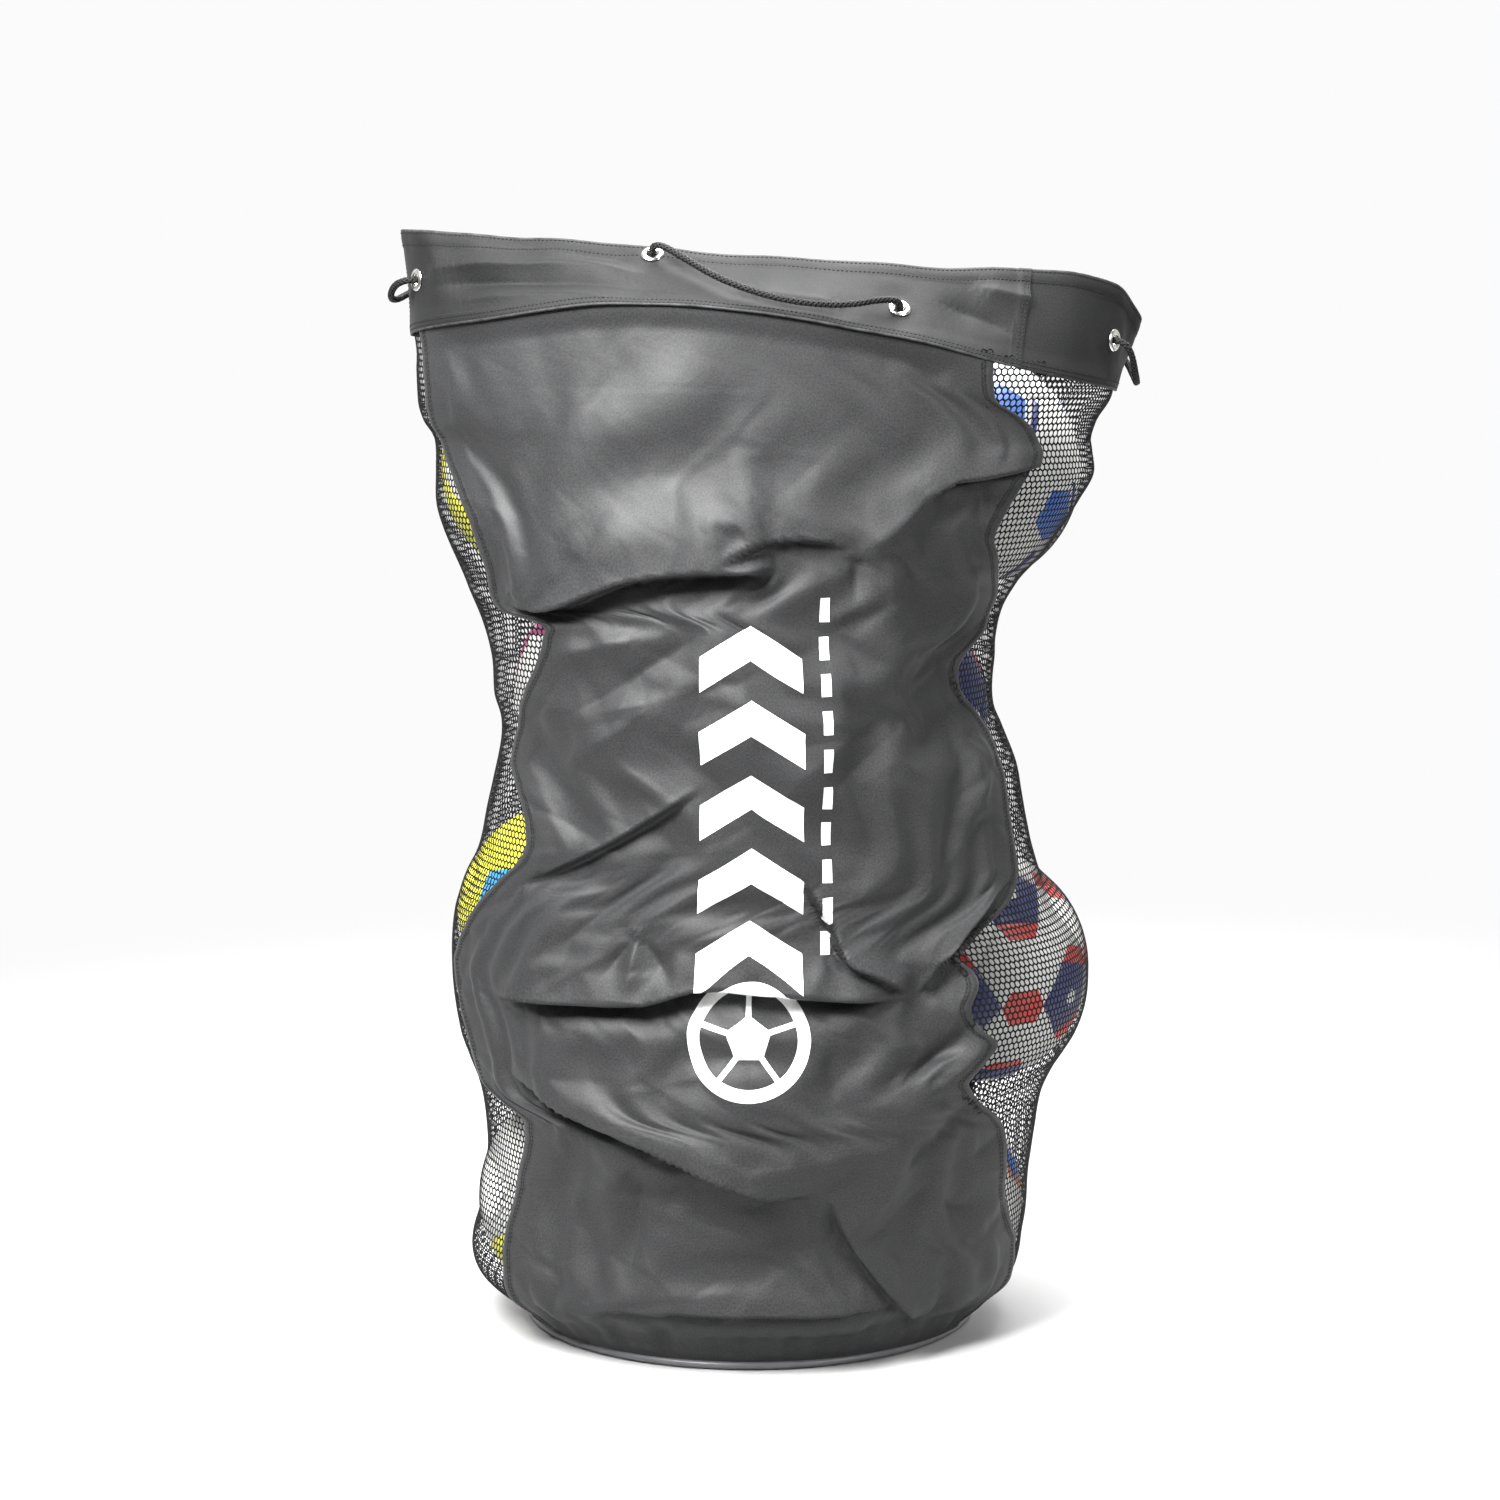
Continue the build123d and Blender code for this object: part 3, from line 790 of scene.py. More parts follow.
def fold(x, z, kind, height, width, fades, points):
    """The outward and the sideways push of one fold at points of the panel."""
    side, share, past = along_stroke(x, z, points)
    strength = FOLD_GAIN * height * taper(share, *fades) * np.exp(-(past / (0.8 * width)) ** 2)
    if kind == "ridge":
        return strength * ridge(side, width), 0 * side
    if kind == "swell":
        return strength * np.exp(-(side / width) ** 2), 0 * side
    # A lip: the fabric on the stroke's left hangs over a hollow on its right.
    step = smooth_step(side, -0.16 * width, 0.10 * width)
    above = np.exp(-np.abs(side) / (1.5 * width))
    below = -0.75 * np.exp(-np.abs(side) / (0.6 * width))
    push = strength * (step * above + (1 - step) * below)
    drop = -0.45 * strength * np.exp(-(np.maximum(side, 0) / (0.5 * width)) ** 2) * step
    return push, drop


# Kind, height, width, fades at the two ends, and the stroke in millimetres across and up.
# A stroke drawn towards the right has its left side above it.
FRONT_FOLDS = [
    ("lip", 12, 30, (0.25, 0.10), [(-225, 668), (-180, 676), (-135, 694), (-101, 705), (-51, 711),
                                  (24, 712)]),
    ("swell", 5, 30, (0.3, 0.3), [(-190, 715), (-90, 745), (0, 745), (70, 750)]),
    ("lip", 6, 15, (0.3, 0.3), [(-38, 716), (16, 735), (58, 737), (92, 726)]),
    ("lip", 9, 20, (0.25, 0.05), [(150, 764), (174, 783), (199, 787), (262, 794)]),
    ("ridge", 6, 13, (0.2, 0.3), [(168, 784), (140, 757), (116, 736), (91, 720)]),
    ("ridge", -4, 8, (0.1, 0.5), [(94, 722), (92, 700), (91, 672)]),
    ("swell", 6, 26, (0.3, 0.4), [(104, 722), (118, 690), (130, 640), (138, 585)]),
    ("ridge", -4, 12, (0.2, 0.6), [(205, 782), (207, 762), (203, 735)]),
    ("ridge", -5, 14, (0.3, 0.3), [(-182, 566), (-130, 600), (-84, 632), (-30, 664)]),
    ("ridge", 5, 13, (0.3, 0.3), [(-180, 626), (-136, 640), (-95, 650)]),
    ("ridge", 4, 14, (0.3, 0.3), [(-170, 530), (-120, 565), (-70, 590)]),
    ("ridge", -5, 15, (0.3, 0.3), [(166, 644), (183, 590), (200, 565)]),
    ("ridge", 5, 13, (0.3, 0.5), [(198, 560), (209, 510), (210, 470)]),
    ("swell", 4, 32, (0.3, 0.3), [(-5, 900), (-50, 866), (-113, 832), (-205, 773)]),
    ("ridge", -1.8, 11, (0.3, 0.2), [(36, 917), (80, 905), (135, 885), (218, 840), (250, 826)]),
    ("lip", -6, 18, (0.3, 0.35), [(-36, 526), (-80, 497), (-128, 467), (-210, 421)]),
    ("ridge", -5, 8, (0.15, 0.5), [(-98, 395), (-112, 376), (-130, 352)]),
    ("ridge", -5, 8, (0.15, 0.5), [(-98, 395), (-84, 376), (-60, 346)]),
    ("ridge", 4, 9, (0.2, 0.4), [(-98, 398), (-101, 372), (-104, 345)]),
    ("lip", 11, 24, (0.15, 0.15), [(-236, 322), (-192, 330), (-147, 334), (-90, 338), (-37, 352), (46, 345),
                                 (99, 341), (150, 339)]),
    ("swell", 5, 17, (0.2, 0.2), [(-200, 300), (-128, 306), (-75, 308), (-37, 312), (61, 314), (99, 322),
                                  (149, 334)]),
    ("lip", 7, 14, (0.4, 0.15), [(36, 462), (52, 432), (69, 402), (84, 372), (112, 358), (148, 341)]),
    ("lip", -7, 14, (0.4, 0.1), [(240, 430), (215, 405), (194, 384), (172, 362), (152, 341)]),
    ("ridge", -6, 11, (0.25, 0.35), [(132, 262), (160, 278), (190, 302), (216, 330)]),
    ("ridge", 4, 12, (0.3, 0.3), [(150, 244), (185, 268), (215, 300)]),
    ("ridge", -5, 11, (0.25, 0.35), [(138, 183), (170, 205), (216, 251)]),
    ("ridge", -3.5, 9, (0.4, 0.4), [(66, 300), (74, 272), (79, 244)]),
    ("lip", 9, 20, (0.25, 0.2), [(-236, 260), (-170, 241), (-110, 222), (-45, 195), (16, 172), (66, 167)]),
    ("ridge", -4, 10, (0.3, 0.5), [(-100, 190), (-108, 140), (-117, 80)]),
    ("ridge", 4, 11, (0.3, 0.3), [(-60, 186), (-30, 184), (20, 168)]),
    ("lip", -7, 16, (0.2, 0.3), [(155, 18), (127, 63), (92, 121), (70, 170)]),
    ("lip", 5, 16, (0.3, 0.3), [(-168, 30), (-129, 51), (-68, 56), (0, 56), (62, 55), (123, 51), (152, 22)]),
    ("ridge", -3, 8, (0.4, 0.4), [(180, 152), (196, 140), (216, 134)]),
    ("swell", 5, 40, (0.3, 0.3), [(-60, 600), (20, 560), (90, 500)]),
    ("swell", 5, 34, (0.3, 0.3), [(-150, 100), (-60, 118), (30, 112)]),
]
COLLAR_FOLDS = [
    ("ridge", 3.0, 9, (0.3, 0.3), [(-300, 962), (-240, 968), (-150, 966), (-70, 958)]),
    ("ridge", -2.5, 8, (0.3, 0.3), [(-296, 949), (-220, 953), (-120, 950), (-40, 940)]),
    ("ridge", 2.5, 8, (0.3, 0.4), [(-270, 936), (-180, 941), (-90, 936)]),
    ("ridge", -2.0, 8, (0.3, 0.4), [(-180, 976), (-100, 972), (-20, 962)]),
    ("ridge", 2.5, 9, (0.4, 0.3), [(-20, 950), (30, 938), (90, 930)]),
    ("ridge", -2.0, 9, (0.4, 0.4), [(160, 938), (200, 925), (236, 905)]),
    ("ridge", 2.5, 10, (0.3, 0.3), [(190, 950), (230, 940), (280, 930)]),
    ("ridge", -3.0, 10, (0.3, 0.3), [(262, 954), (276, 930), (285, 900)]),
    ("ridge", 3.0, 10, (0.3, 0.3), [(292, 950), (302, 925), (306, 900)]),
]


def folded(points, normals, folds, across, up, mask=1.0):
    """Points of a panel after its folds. across and up are the places that the strokes use."""
    push, drop = np.zeros(across.shape), np.zeros(across.shape)
    for kind, height, width, fades, stroke in folds:
        xs, zs = [p[0] for p in stroke], [p[1] for p in stroke]
        reach = 5 * width
        near = ((across > min(xs) - reach) & (across < max(xs) + reach)
                & (up > min(zs) - reach) & (up < max(zs) + reach))
        if not near.any():
            continue
        out, shift = fold(across[near], up[near], kind, height, width, fades, stroke)
        push[near] += out
        drop[near] += shift
    moved = points + normals * (push * mask)[..., None]
    moved[..., 2] += drop * mask
    return moved


def column_places(width, count):
    """Distances from a panel's left edge: fine over both hems, even between them."""
    hem = np.arange(0, HEM + 2, 1.0)
    return np.r_[hem, np.linspace(hem[-1], width - hem[-1], count)[1:-1], (width - hem)[::-1]]


ROW_STEPS = 500           # along each row, to measure it
FIRST_HEIGHT = 500.0      # from which the search for a row's place starts
UNDER_COLLAR = 3.0


def panel_places(left_edge, right_edge, rows, count):
    """Angle, height and distance from the left edge for each vertex of a panel, and its width by row."""
    found = []
    turn = np.linspace(0, 1, ROW_STEPS)
    for share in rows:
        angle = left_edge(FIRST_HEIGHT) + (right_edge(FIRST_HEIGHT) - left_edge(FIRST_HEIGHT)) * turn
        for _ in range(5):
            height = BODY_START + (seam_height(angle) + UNDER_COLLAR - BODY_START) * share
            angle = left_edge(height) + (right_edge(height) - left_edge(height)) * turn
        line = skin_point(angle, height)
        lengths = np.r_[0, np.cumsum(np.linalg.norm(np.diff(line, axis=0), axis=1))]
        places = column_places(lengths[-1], count)
        found.append((np.interp(places, lengths, angle), np.interp(places, lengths, height), places,
                      np.full(len(places), lengths[-1])))
    return [np.array(values) for values in zip(*found)]


def near_lines(distance, lines, width):
    """1 on each of some lines, falling off over a width."""
    return sum(np.exp(-((distance - line) / width) ** 2) for line in lines)


def hem_profile(distance):
    """How far the fabric stands out near a hem, by distance from its edge."""
    double = HEM_STEP * (1 - smooth_step(distance, HEM - 0.8, HEM + 0.8))
    puffed = PUFF_HEIGHT * np.exp(-((distance - PUFF_MIDDLE) / PUFF_WIDTH) ** 2)
    return double - SEAM_DEPTH * near_lines(distance, STITCH_LINES, 0.9) + puffed


STITCH_RADIUS, STITCH_LENGTH, STITCH_PITCH = 0.46, 2.7, 3.9
# Along a stitch, and its thickness and lift there.
STITCH_RINGS = [
    (-1.0, 0.15, -0.6), (-0.55, 0.9, 0.15), (0.0, 1.0, 0.35), (0.55, 0.9, 0.15), (1.0, 0.15, -0.6),
]
STITCH_SIDES = 5


def stitched(line, normals, base=0):
    """Vertices and faces of a row of stitches that lie along a line, in metres."""
    lengths = np.r_[0, np.cumsum(np.linalg.norm(np.diff(line, axis=0), axis=1))]
    places = np.arange(STITCH_PITCH / 2, lengths[-1] / MM, STITCH_PITCH) * MM
    centre = np.stack([np.interp(places, lengths, line[:, k]) for k in range(3)], -1)
    normal = unit(np.stack([np.interp(places, lengths, normals[:, k]) for k in range(3)], -1))
    ahead = np.stack([np.interp(places + 0.5 * MM, lengths, line[:, k]) for k in range(3)], -1)
    tangent = unit(ahead - centre + 1e-9)
    across = np.cross(tangent, normal)
    parts = []
    for along, size, lift in STITCH_RINGS:
        for turn in np.linspace(0, 2 * math.pi, STITCH_SIDES, endpoint=False):
            parts.append(centre + tangent * (along * STITCH_LENGTH / 2 * MM)
                         + normal * ((lift + size * math.sin(turn)) * STITCH_RADIUS * MM)
                         + across * (size * math.cos(turn) * STITCH_RADIUS * MM))
    vertices = np.stack(parts, 1)
    one = grid_faces(len(STITCH_RINGS), STITCH_SIDES, wrap=True)
    firsts = np.arange(len(centre)) * vertices.shape[1]
    faces = (one[None] + firsts[:, None, None]).reshape(-1, 4) + base
    return vertices.reshape(-1, 3), faces.tolist()


def stitching(name, lines):
    """Several rows of stitches as one piece. Each row is its points and its normals, in metres."""
    vertices, faces = np.zeros((0, 3)), []
    for line, normals in lines:
        more, quads = stitched(line, normals, base=len(vertices))
        vertices = np.vstack([vertices, more])
        faces += quads
    obj = new_mesh(name, vertices, faces)
    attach(obj, "bag")
    return obj


def grid_normals(points):
    """Normals of a grid whose rows climb and whose columns go anticlockwise."""
    return unit(np.cross(np.gradient(points, axis=1), np.gradient(points, axis=0)))


# The hollow low on a panel: where it starts, its height and half its width.
HOLLOW_START, HOLLOW_TALL, HOLLOW_HALF = 14, 200, 250
FOLD_STRENGTH = 0.95
# Height, size and seed of each layer of crumples, and where they fade out towards the smooth top.
CRUMPLES = [(2.4, 170, 3), (1.0, 84, 4)]
SMOOTH_FROM, SMOOTH_FADE = 790, 120
GATHER_FROM, GATHER_FADE = 16, 20     # of the puckers at the foot
# The panel's foot is turned in under the base.
FOOT_SHRINK = 1.0 - 1.2 / 206
FOOT_HEIGHT = 7.7
FOOT_ROWS = (0, 0.004, 0.009, 0.015)
HEM_COLUMNS = 4           # that a side hem adds on the inside


def hollow_share(height, across):
    """How much of its hollow a panel has at a point, from 0 to 1."""
    up = np.sin(math.pi * np.clip((height - HOLLOW_START) / HOLLOW_TALL, 0, 1)) ** 2
    return up * np.clip(1 - (across / HOLLOW_HALF) ** 2, 0, 1)


def panel_shape(place, rows, cap, folds, puckers, pinches, even, hollow):
    """Where a panel's points come to rest, and where they stand before that.

    cap is how far the panel is drawn in between the balls, even is the share of slack that it has
    everywhere, and pinches are the points that its folds run to.
    """
    angle, height, distance, width = place
    edge, across = np.minimum(distance, width - distance), distance - width / 2
    base, normals = skin_point(angle, height), skin_normal(angle, height)
    calm = smooth_step(height, BODY_START, BODY_START + GATHER_FROM)
    top = smooth_step(seam_height(angle) - height, 0, 22)
    points = pulled_in(base, normals, 1.5 + (cap - 1.5) * smooth_step(edge, 5, 70))
    points = base + (points - base) * (calm * (0.25 + 0.75 * top))[..., None]
    points -= normals * (hollow * hollow_share(height, across))[..., None]
    fade = calm * (0.2 + 0.8 * top) * (0.5 + 0.5 * smooth_step(edge, 0, 30))
    loose = fade * (0.35 + 0.65 * smooth_step(SMOOTH_FROM - height, 0, SMOOTH_FADE))
    push = sum(high * crumpled(across, height, size, seed) for high, size, seed in CRUMPLES)
    points += normals * (push * loose)[..., None]
    points = folded(points, normals, folds, base[..., 0], height, FOLD_STRENGTH * fade)
    wander = 1 + 0.5 * np.sin(across / 47 + height / 90) * np.sin(height / 61 - across / 130)
    slack = [extra * loose * wander for extra in slack_towards(pinches, base[..., 0], height, even)]
    held = 0.0015 + 0.5 * (1 - smooth_step(edge, 8, 42)) + (1 - calm * top)
    points = off_balls(settled(points, normals, base, held, slack, rows, distance / width), PANEL_CLEAR)
    gathers = sum(np.sin(np.radians(angle) * waves + start) * high for waves, start, high in puckers)
    fading = np.exp(-np.maximum(height - GATHER_FROM, 0) / GATHER_FADE) * calm ** 0.3
    points += normals * (gathers * fading)[..., None]
    sewn = np.exp(-((edge - 9.5) / 5.5) ** 2) * np.sin(height / 1.9 + np.sin(height / 23) * 3)
    return points + normals * (hem_profile(edge) + 0.22 * sewn - 0.7)[..., None], base


def turned_sides(points, normals):
    """A panel's grid with its two side edges turned in behind it."""
    left, right = [], []
    for side, column, inside in ((left, 0, 1), (right, -1, -1)):
        towards = unit(points[:, column + 10 * inside] - points[:, column])
        for step, depth in ((12.0, HEM_THICK), (6.0, HEM_THICK), (0.4, HEM_THICK), (-0.4, HEM_THICK / 2)):
            side.append(points[:, column] + towards * step - normals[:, column] * depth)
    return np.concatenate([np.stack(left, 1), points, np.stack(right[::-1], 1)], axis=1)


def as_fabric(obj, node, beyond, **values):
    """Gives a fabric piece the numbers that its finish reads and its body, and hides the CAD node that it
    stands for.

    beyond is how many rows and columns its mesh has before and after the ones that have values.
    """
    for key, numbers in values.items():
        set_value(obj, key, np.pad(numbers, beyond, mode="edge"))
    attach(obj, "bag")
    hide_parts(node)


def sewn_panel(name, node, left_edge, right_edge, size, **shape):
    """One coated panel, hemmed at both sides, and its stitches. size is its rows and columns."""
    rows = np.r_[FOOT_ROWS, np.linspace(0.021, 1, size[0])]
    place = panel_places(left_edge, right_edge, rows, size[1])
    points, base = panel_shape(place, rows, **shape)
    _, height, distance, width = place
    foot = points[0] * (FOOT_SHRINK, FOOT_SHRINK, 1)
    foot[:, 2] = FOOT_HEIGHT
    points = np.concatenate([foot[None], points])
    normals = grid_normals(points)
    whole = turned_sides(points, normals)
    obj = new_mesh(name, whole.reshape(-1, 3) * MM, grid_faces(*whole.shape[:2]))
    flat = np.stack([distance - width / 2, height, base[..., 0]], -1)
    flat = np.concatenate([flat[:1] - (0, 4, 0), flat]) * MM
    edge = np.minimum(distance, width - distance)
    edge = np.concatenate([edge[:1], edge])
    as_fabric(obj, node, ((0, 0), (HEM_COLUMNS, HEM_COLUMNS)), cloth_u=flat[..., 0], cloth_v=flat[..., 1],
              print_x=flat[..., 2], print_z=flat[..., 1], hem=edge * MM,
              # The stitch lines, where the finish paints shade into the grooves.
              groove=near_lines(edge, STITCH_LINES, 1.0))
    seams = []
    for from_edge in STITCH_LINES:
        column, share = int(from_edge), from_edge % 1
        for first, second in ((column, column + 1), (-1 - column, -2 - column)):
            line = points[2:, first] * (1 - share) + points[2:, second] * share
            seams.append((line * MM, normals[2:, first]))
    return obj, stitching(f"{name}_stitching", seams)


# The panels' edges: the angle at each height.
def front_left_edge(height):
    return between(LEFT_EDGE, height, 1)


def front_right_edge(height):
    return between(RIGHT_EDGE, height, 1)


def back_left_edge(height):
    return BACK_LEFT_EDGE + 0 * height


def back_right_edge(height):
    return BACK_RIGHT_EDGE + 0 * height


# The points that the panels' folds run to: across, up, share of extra cloth, and how far it reaches.
FRONT_PINCHES = [
    (-232, 662, 0.15, 105), (215, 785, 0.09, 95), (96, 722, 0.08, 80), (152, 341, 0.07, 105),
    (-98, 396, 0.07, 70), (232, 612, 0.03, 80), (-236, 325, 0.08, 110), (66, 168, 0.09, 95),
    (160, 10, 0.10, 95), (-150, 15, 0.08, 90), (-215, 420, 0.03, 80), (230, 250, 0.08, 85),
]
BACK_PINCHES = [
    (-190, 660, 0.10, 120), (190, 520, 0.10, 120), (-190, 330, 0.09, 110), (190, 200, 0.09, 100),
    (20, 780, 0.06, 120), (-150, 20, 0.08, 90), (60, 10, 0.07, 90), (190, 770, 0.07, 90),
]
# Waves round the foot, where each starts, and its height.
FRONT_PUCKERS = [(37, 0.3, 1.4), (61, 1.9, 0.9), (23, 4.1, 1.2)]
BACK_PUCKERS = [(41, 1.3, 1.3), (67, 0.4, 0.8), (19, 2.2, 1.3)]
front_panel, front_thread = sewn_panel(
    "front_panel_cloth", "front_panel", front_left_edge, front_right_edge, (320, 205),
    cap=8.0, folds=FRONT_FOLDS, puckers=FRONT_PUCKERS, pinches=FRONT_PINCHES, even=0.002, hollow=26.0)
back_panel, back_thread = sewn_panel(
    "back_panel_cloth", "back_panel", back_right_edge, back_left_edge, (230, 150),
    cap=13.0, folds=[], puckers=BACK_PUCKERS, pinches=BACK_PINCHES, even=0.003, hollow=10.0)

# ---------------------------------------------------------------- the two nets

CELL_RADIUS = 3.695       # of the six-sided openings, to the middle of a strand
STRAND_HALF = 0.92
STRAND_CROWN = 0.55       # how far a strand's middle stands out from its sides
NET_CAP = 2.0             # how far the net is drawn in between the balls
NET_DEPTH = 2.4           # behind the sack's outer face
NET_FOOT = 8.6
NET_UNDER = np.degrees(10.0 / 270.0)      # that reaches behind each panel
NET_ROWS, NET_COLUMNS = 175, 60
NET_FIRST = 5.0           # height of the row before the first
NET_OVER_SEAM, NET_BELOW_START = 8, 4
NET_EDGE_FADE = (26, 40)  # below the seam, and height from the floor, over which it is drawn in
CORNER_KEYS = 50          # to a millimetre, to find the corners that cells share
LEVEL_STEP = 4.0
LEVELS = np.arange(6.0, 945.0, LEVEL_STEP)
TURNS = np.linspace(-88, 88, 353)


def lengths_round(middle):
    """Distances round the sack from a middle angle, for each level and turn."""
    levels = np.maximum(LEVELS, BODY_START)[:, None]
    surface = skin_point(np.tile(middle + TURNS, (len(LEVELS), 1)), levels)
    steps = np.linalg.norm(np.diff(surface, axis=1), axis=2)
    lengths = np.concatenate([np.zeros((len(LEVELS), 1)), np.cumsum(steps, 1)], 1)
    return lengths - lengths[:, [len(TURNS) // 2]]


def angles_at(places, middle, lengths):
    """The sack's angles at places on the flat net."""
    level = np.clip((places[:, 1] - LEVELS[0]) / LEVEL_STEP, 0, len(LEVELS) - 1.001)
    row = level.astype(int)
    found = np.zeros(len(places))
    for number in np.unique(row):
        here = row == number
        low = np.interp(places[here][:, 0], lengths[number], TURNS)
        high = np.interp(places[here][:, 0], lengths[number + 1], TURNS)
        found[here] = low + (high - low) * (level[here] - number)
    return middle + found


def knitted(cells):
    """Flat strands round six-sided cells: points, faces, and how many lead as the strands' middles."""
    corners = np.radians(30 + 60 * np.arange(6))
    rays = np.stack([np.cos(corners), np.sin(corners)], -1)
    outer = (cells[:, None] + rays * CELL_RADIUS).reshape(-1, 2)
    inner = cells[:, None] + rays * (CELL_RADIUS - STRAND_HALF / math.cos(math.radians(30)))
    keys = np.round(outer * CORNER_KEYS).astype(int)
    _, first, which = np.unique(keys, axis=0, return_index=True, return_inverse=True)
    which = which.reshape(-1, 6)
    base = len(first) + 6 * np.arange(len(cells))
    faces = []
    for k in range(6):
        after = (k + 1) % 6
        faces.append(np.stack([which[:, k], which[:, after], base + after, base + k], -1))
    return np.concatenate([outer[first], inner.reshape(-1, 2)]), np.concatenate(faces), len(first)


def net(name, node, middle, low_edge, high_edge):
    """Knitted net: six-sided openings laid on the sack's side between two panels' edges."""
    lengths = lengths_round(middle)
    wide, tall = math.sqrt(3) * CELL_RADIUS, 1.5 * CELL_RADIUS
    i, j = np.meshgrid(np.arange(-NET_COLUMNS, NET_COLUMNS + 1), np.arange(1, NET_ROWS))
    cells = np.stack([(i + 0.5 * (j % 2)) * wide, j * tall + NET_FIRST], -1).reshape(-1, 2)
    angle, up = angles_at(cells, middle, lengths), cells[:, 1]
    between_panels = (angle > low_edge(up) - NET_UNDER) & (angle < high_edge(up) + NET_UNDER)
    keep = between_panels & (up < seam_height(angle) + NET_OVER_SEAM) & (up > BODY_START - NET_BELOW_START)
    flat, faces, middles = knitted(cells[keep])
    angle, height = angles_at(flat, middle, lengths), np.maximum(flat[:, 1], NET_FOOT)
    points = skin_point(angle, np.maximum(height, BODY_START))
    normals = skin_normal(angle, np.maximum(height, BODY_START + 2))
    points[:, 2] = height
    top = smooth_step(seam_height(angle) - height, 0, NET_EDGE_FADE[0])
    calm = smooth_step(height, BODY_START, NET_EDGE_FADE[1]) * (0.2 + 0.8 * top)
    points += (pulled_in(points, normals, NET_CAP) - points) * calm[:, None] - normals * NET_DEPTH
    points[:middles] += normals[:middles] * STRAND_CROWN
    obj = new_mesh(name, points * MM, faces)
    set_value(obj, "cloth_u", flat[:, 0] * MM)
    set_value(obj, "cloth_v", flat[:, 1] * MM)
    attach(obj, "bag")
    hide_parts(node)
    return obj


mesh_right = net(
    "mesh_right_net", "mesh_right", 360.0, front_right_edge, lambda height: 360 + back_right_edge(height))
mesh_left = net("mesh_left_net", "mesh_left", 178.0, back_left_edge, front_left_edge)

# ---------------------------------------------------------------- the collar

EYELET_HOLE = 7.2
eyelet_places = np.array([collar_surface(angle, rise) for angle, rise in EYELETS])
# Stitch lines, by distance from a piece's foot, from its rim and from its side.
COLLAR_LOW_LINES, COLLAR_TOP_LINES, COLLAR_SIDE_LINES = (3.2, 7.4), (2.6, 13.6), (3, 7)
COLLAR_FOLD_STRENGTH = 1.5
# Distances from an eyelet's middle over which the folds and the hems' relief set in.
FOLDS_FROM, RELIEF_FROM = (12, 34), (10, 14)
COLLAR_OVERLAP = 1.2      # of the two pieces at their joins, in degrees
JOIN_RELIEF = 0.9         # how far the fabric stands out beside the joins and the foot
ONE_MM_ROUND = np.degrees(1 / 290.0)
RIM_DEPTHS = (0.02, 0.07, 0.16)           # of the turned-in rim's rows, as shares of the collar's height
# Waves round the collar, where each starts, its height, and how much it leans up the collar.
COLLAR_WAVES = [(9, 1.0, 1.6, 0), (21, 0.0, 0.8, 3)]
OUTSIDE = 99              # a gap that is far from every eyelet


def collar_relief(from_low, from_top, from_side):
    """How far a collar piece stands out at its hems, and beside its sides and its foot."""
    hems = (0.5 * (1 - smooth_step(from_top, 15.2, 16.6)) + 0.5 * (1 - smooth_step(from_low, 8.6, 9.8))
            - SEAM_DEPTH * near_lines(from_top, COLLAR_TOP_LINES, 0.9)
            - SEAM_DEPTH * near_lines(from_low, COLLAR_LOW_LINES, 0.9)
            + 0.35 * np.exp(-((from_top - 8) / 4) ** 2))
    beside = 1 - smooth_step(from_side, 9, 14) + 1 - smooth_step(from_low, 9, 22)
    return hems - 0.35, JOIN_RELIEF * beside


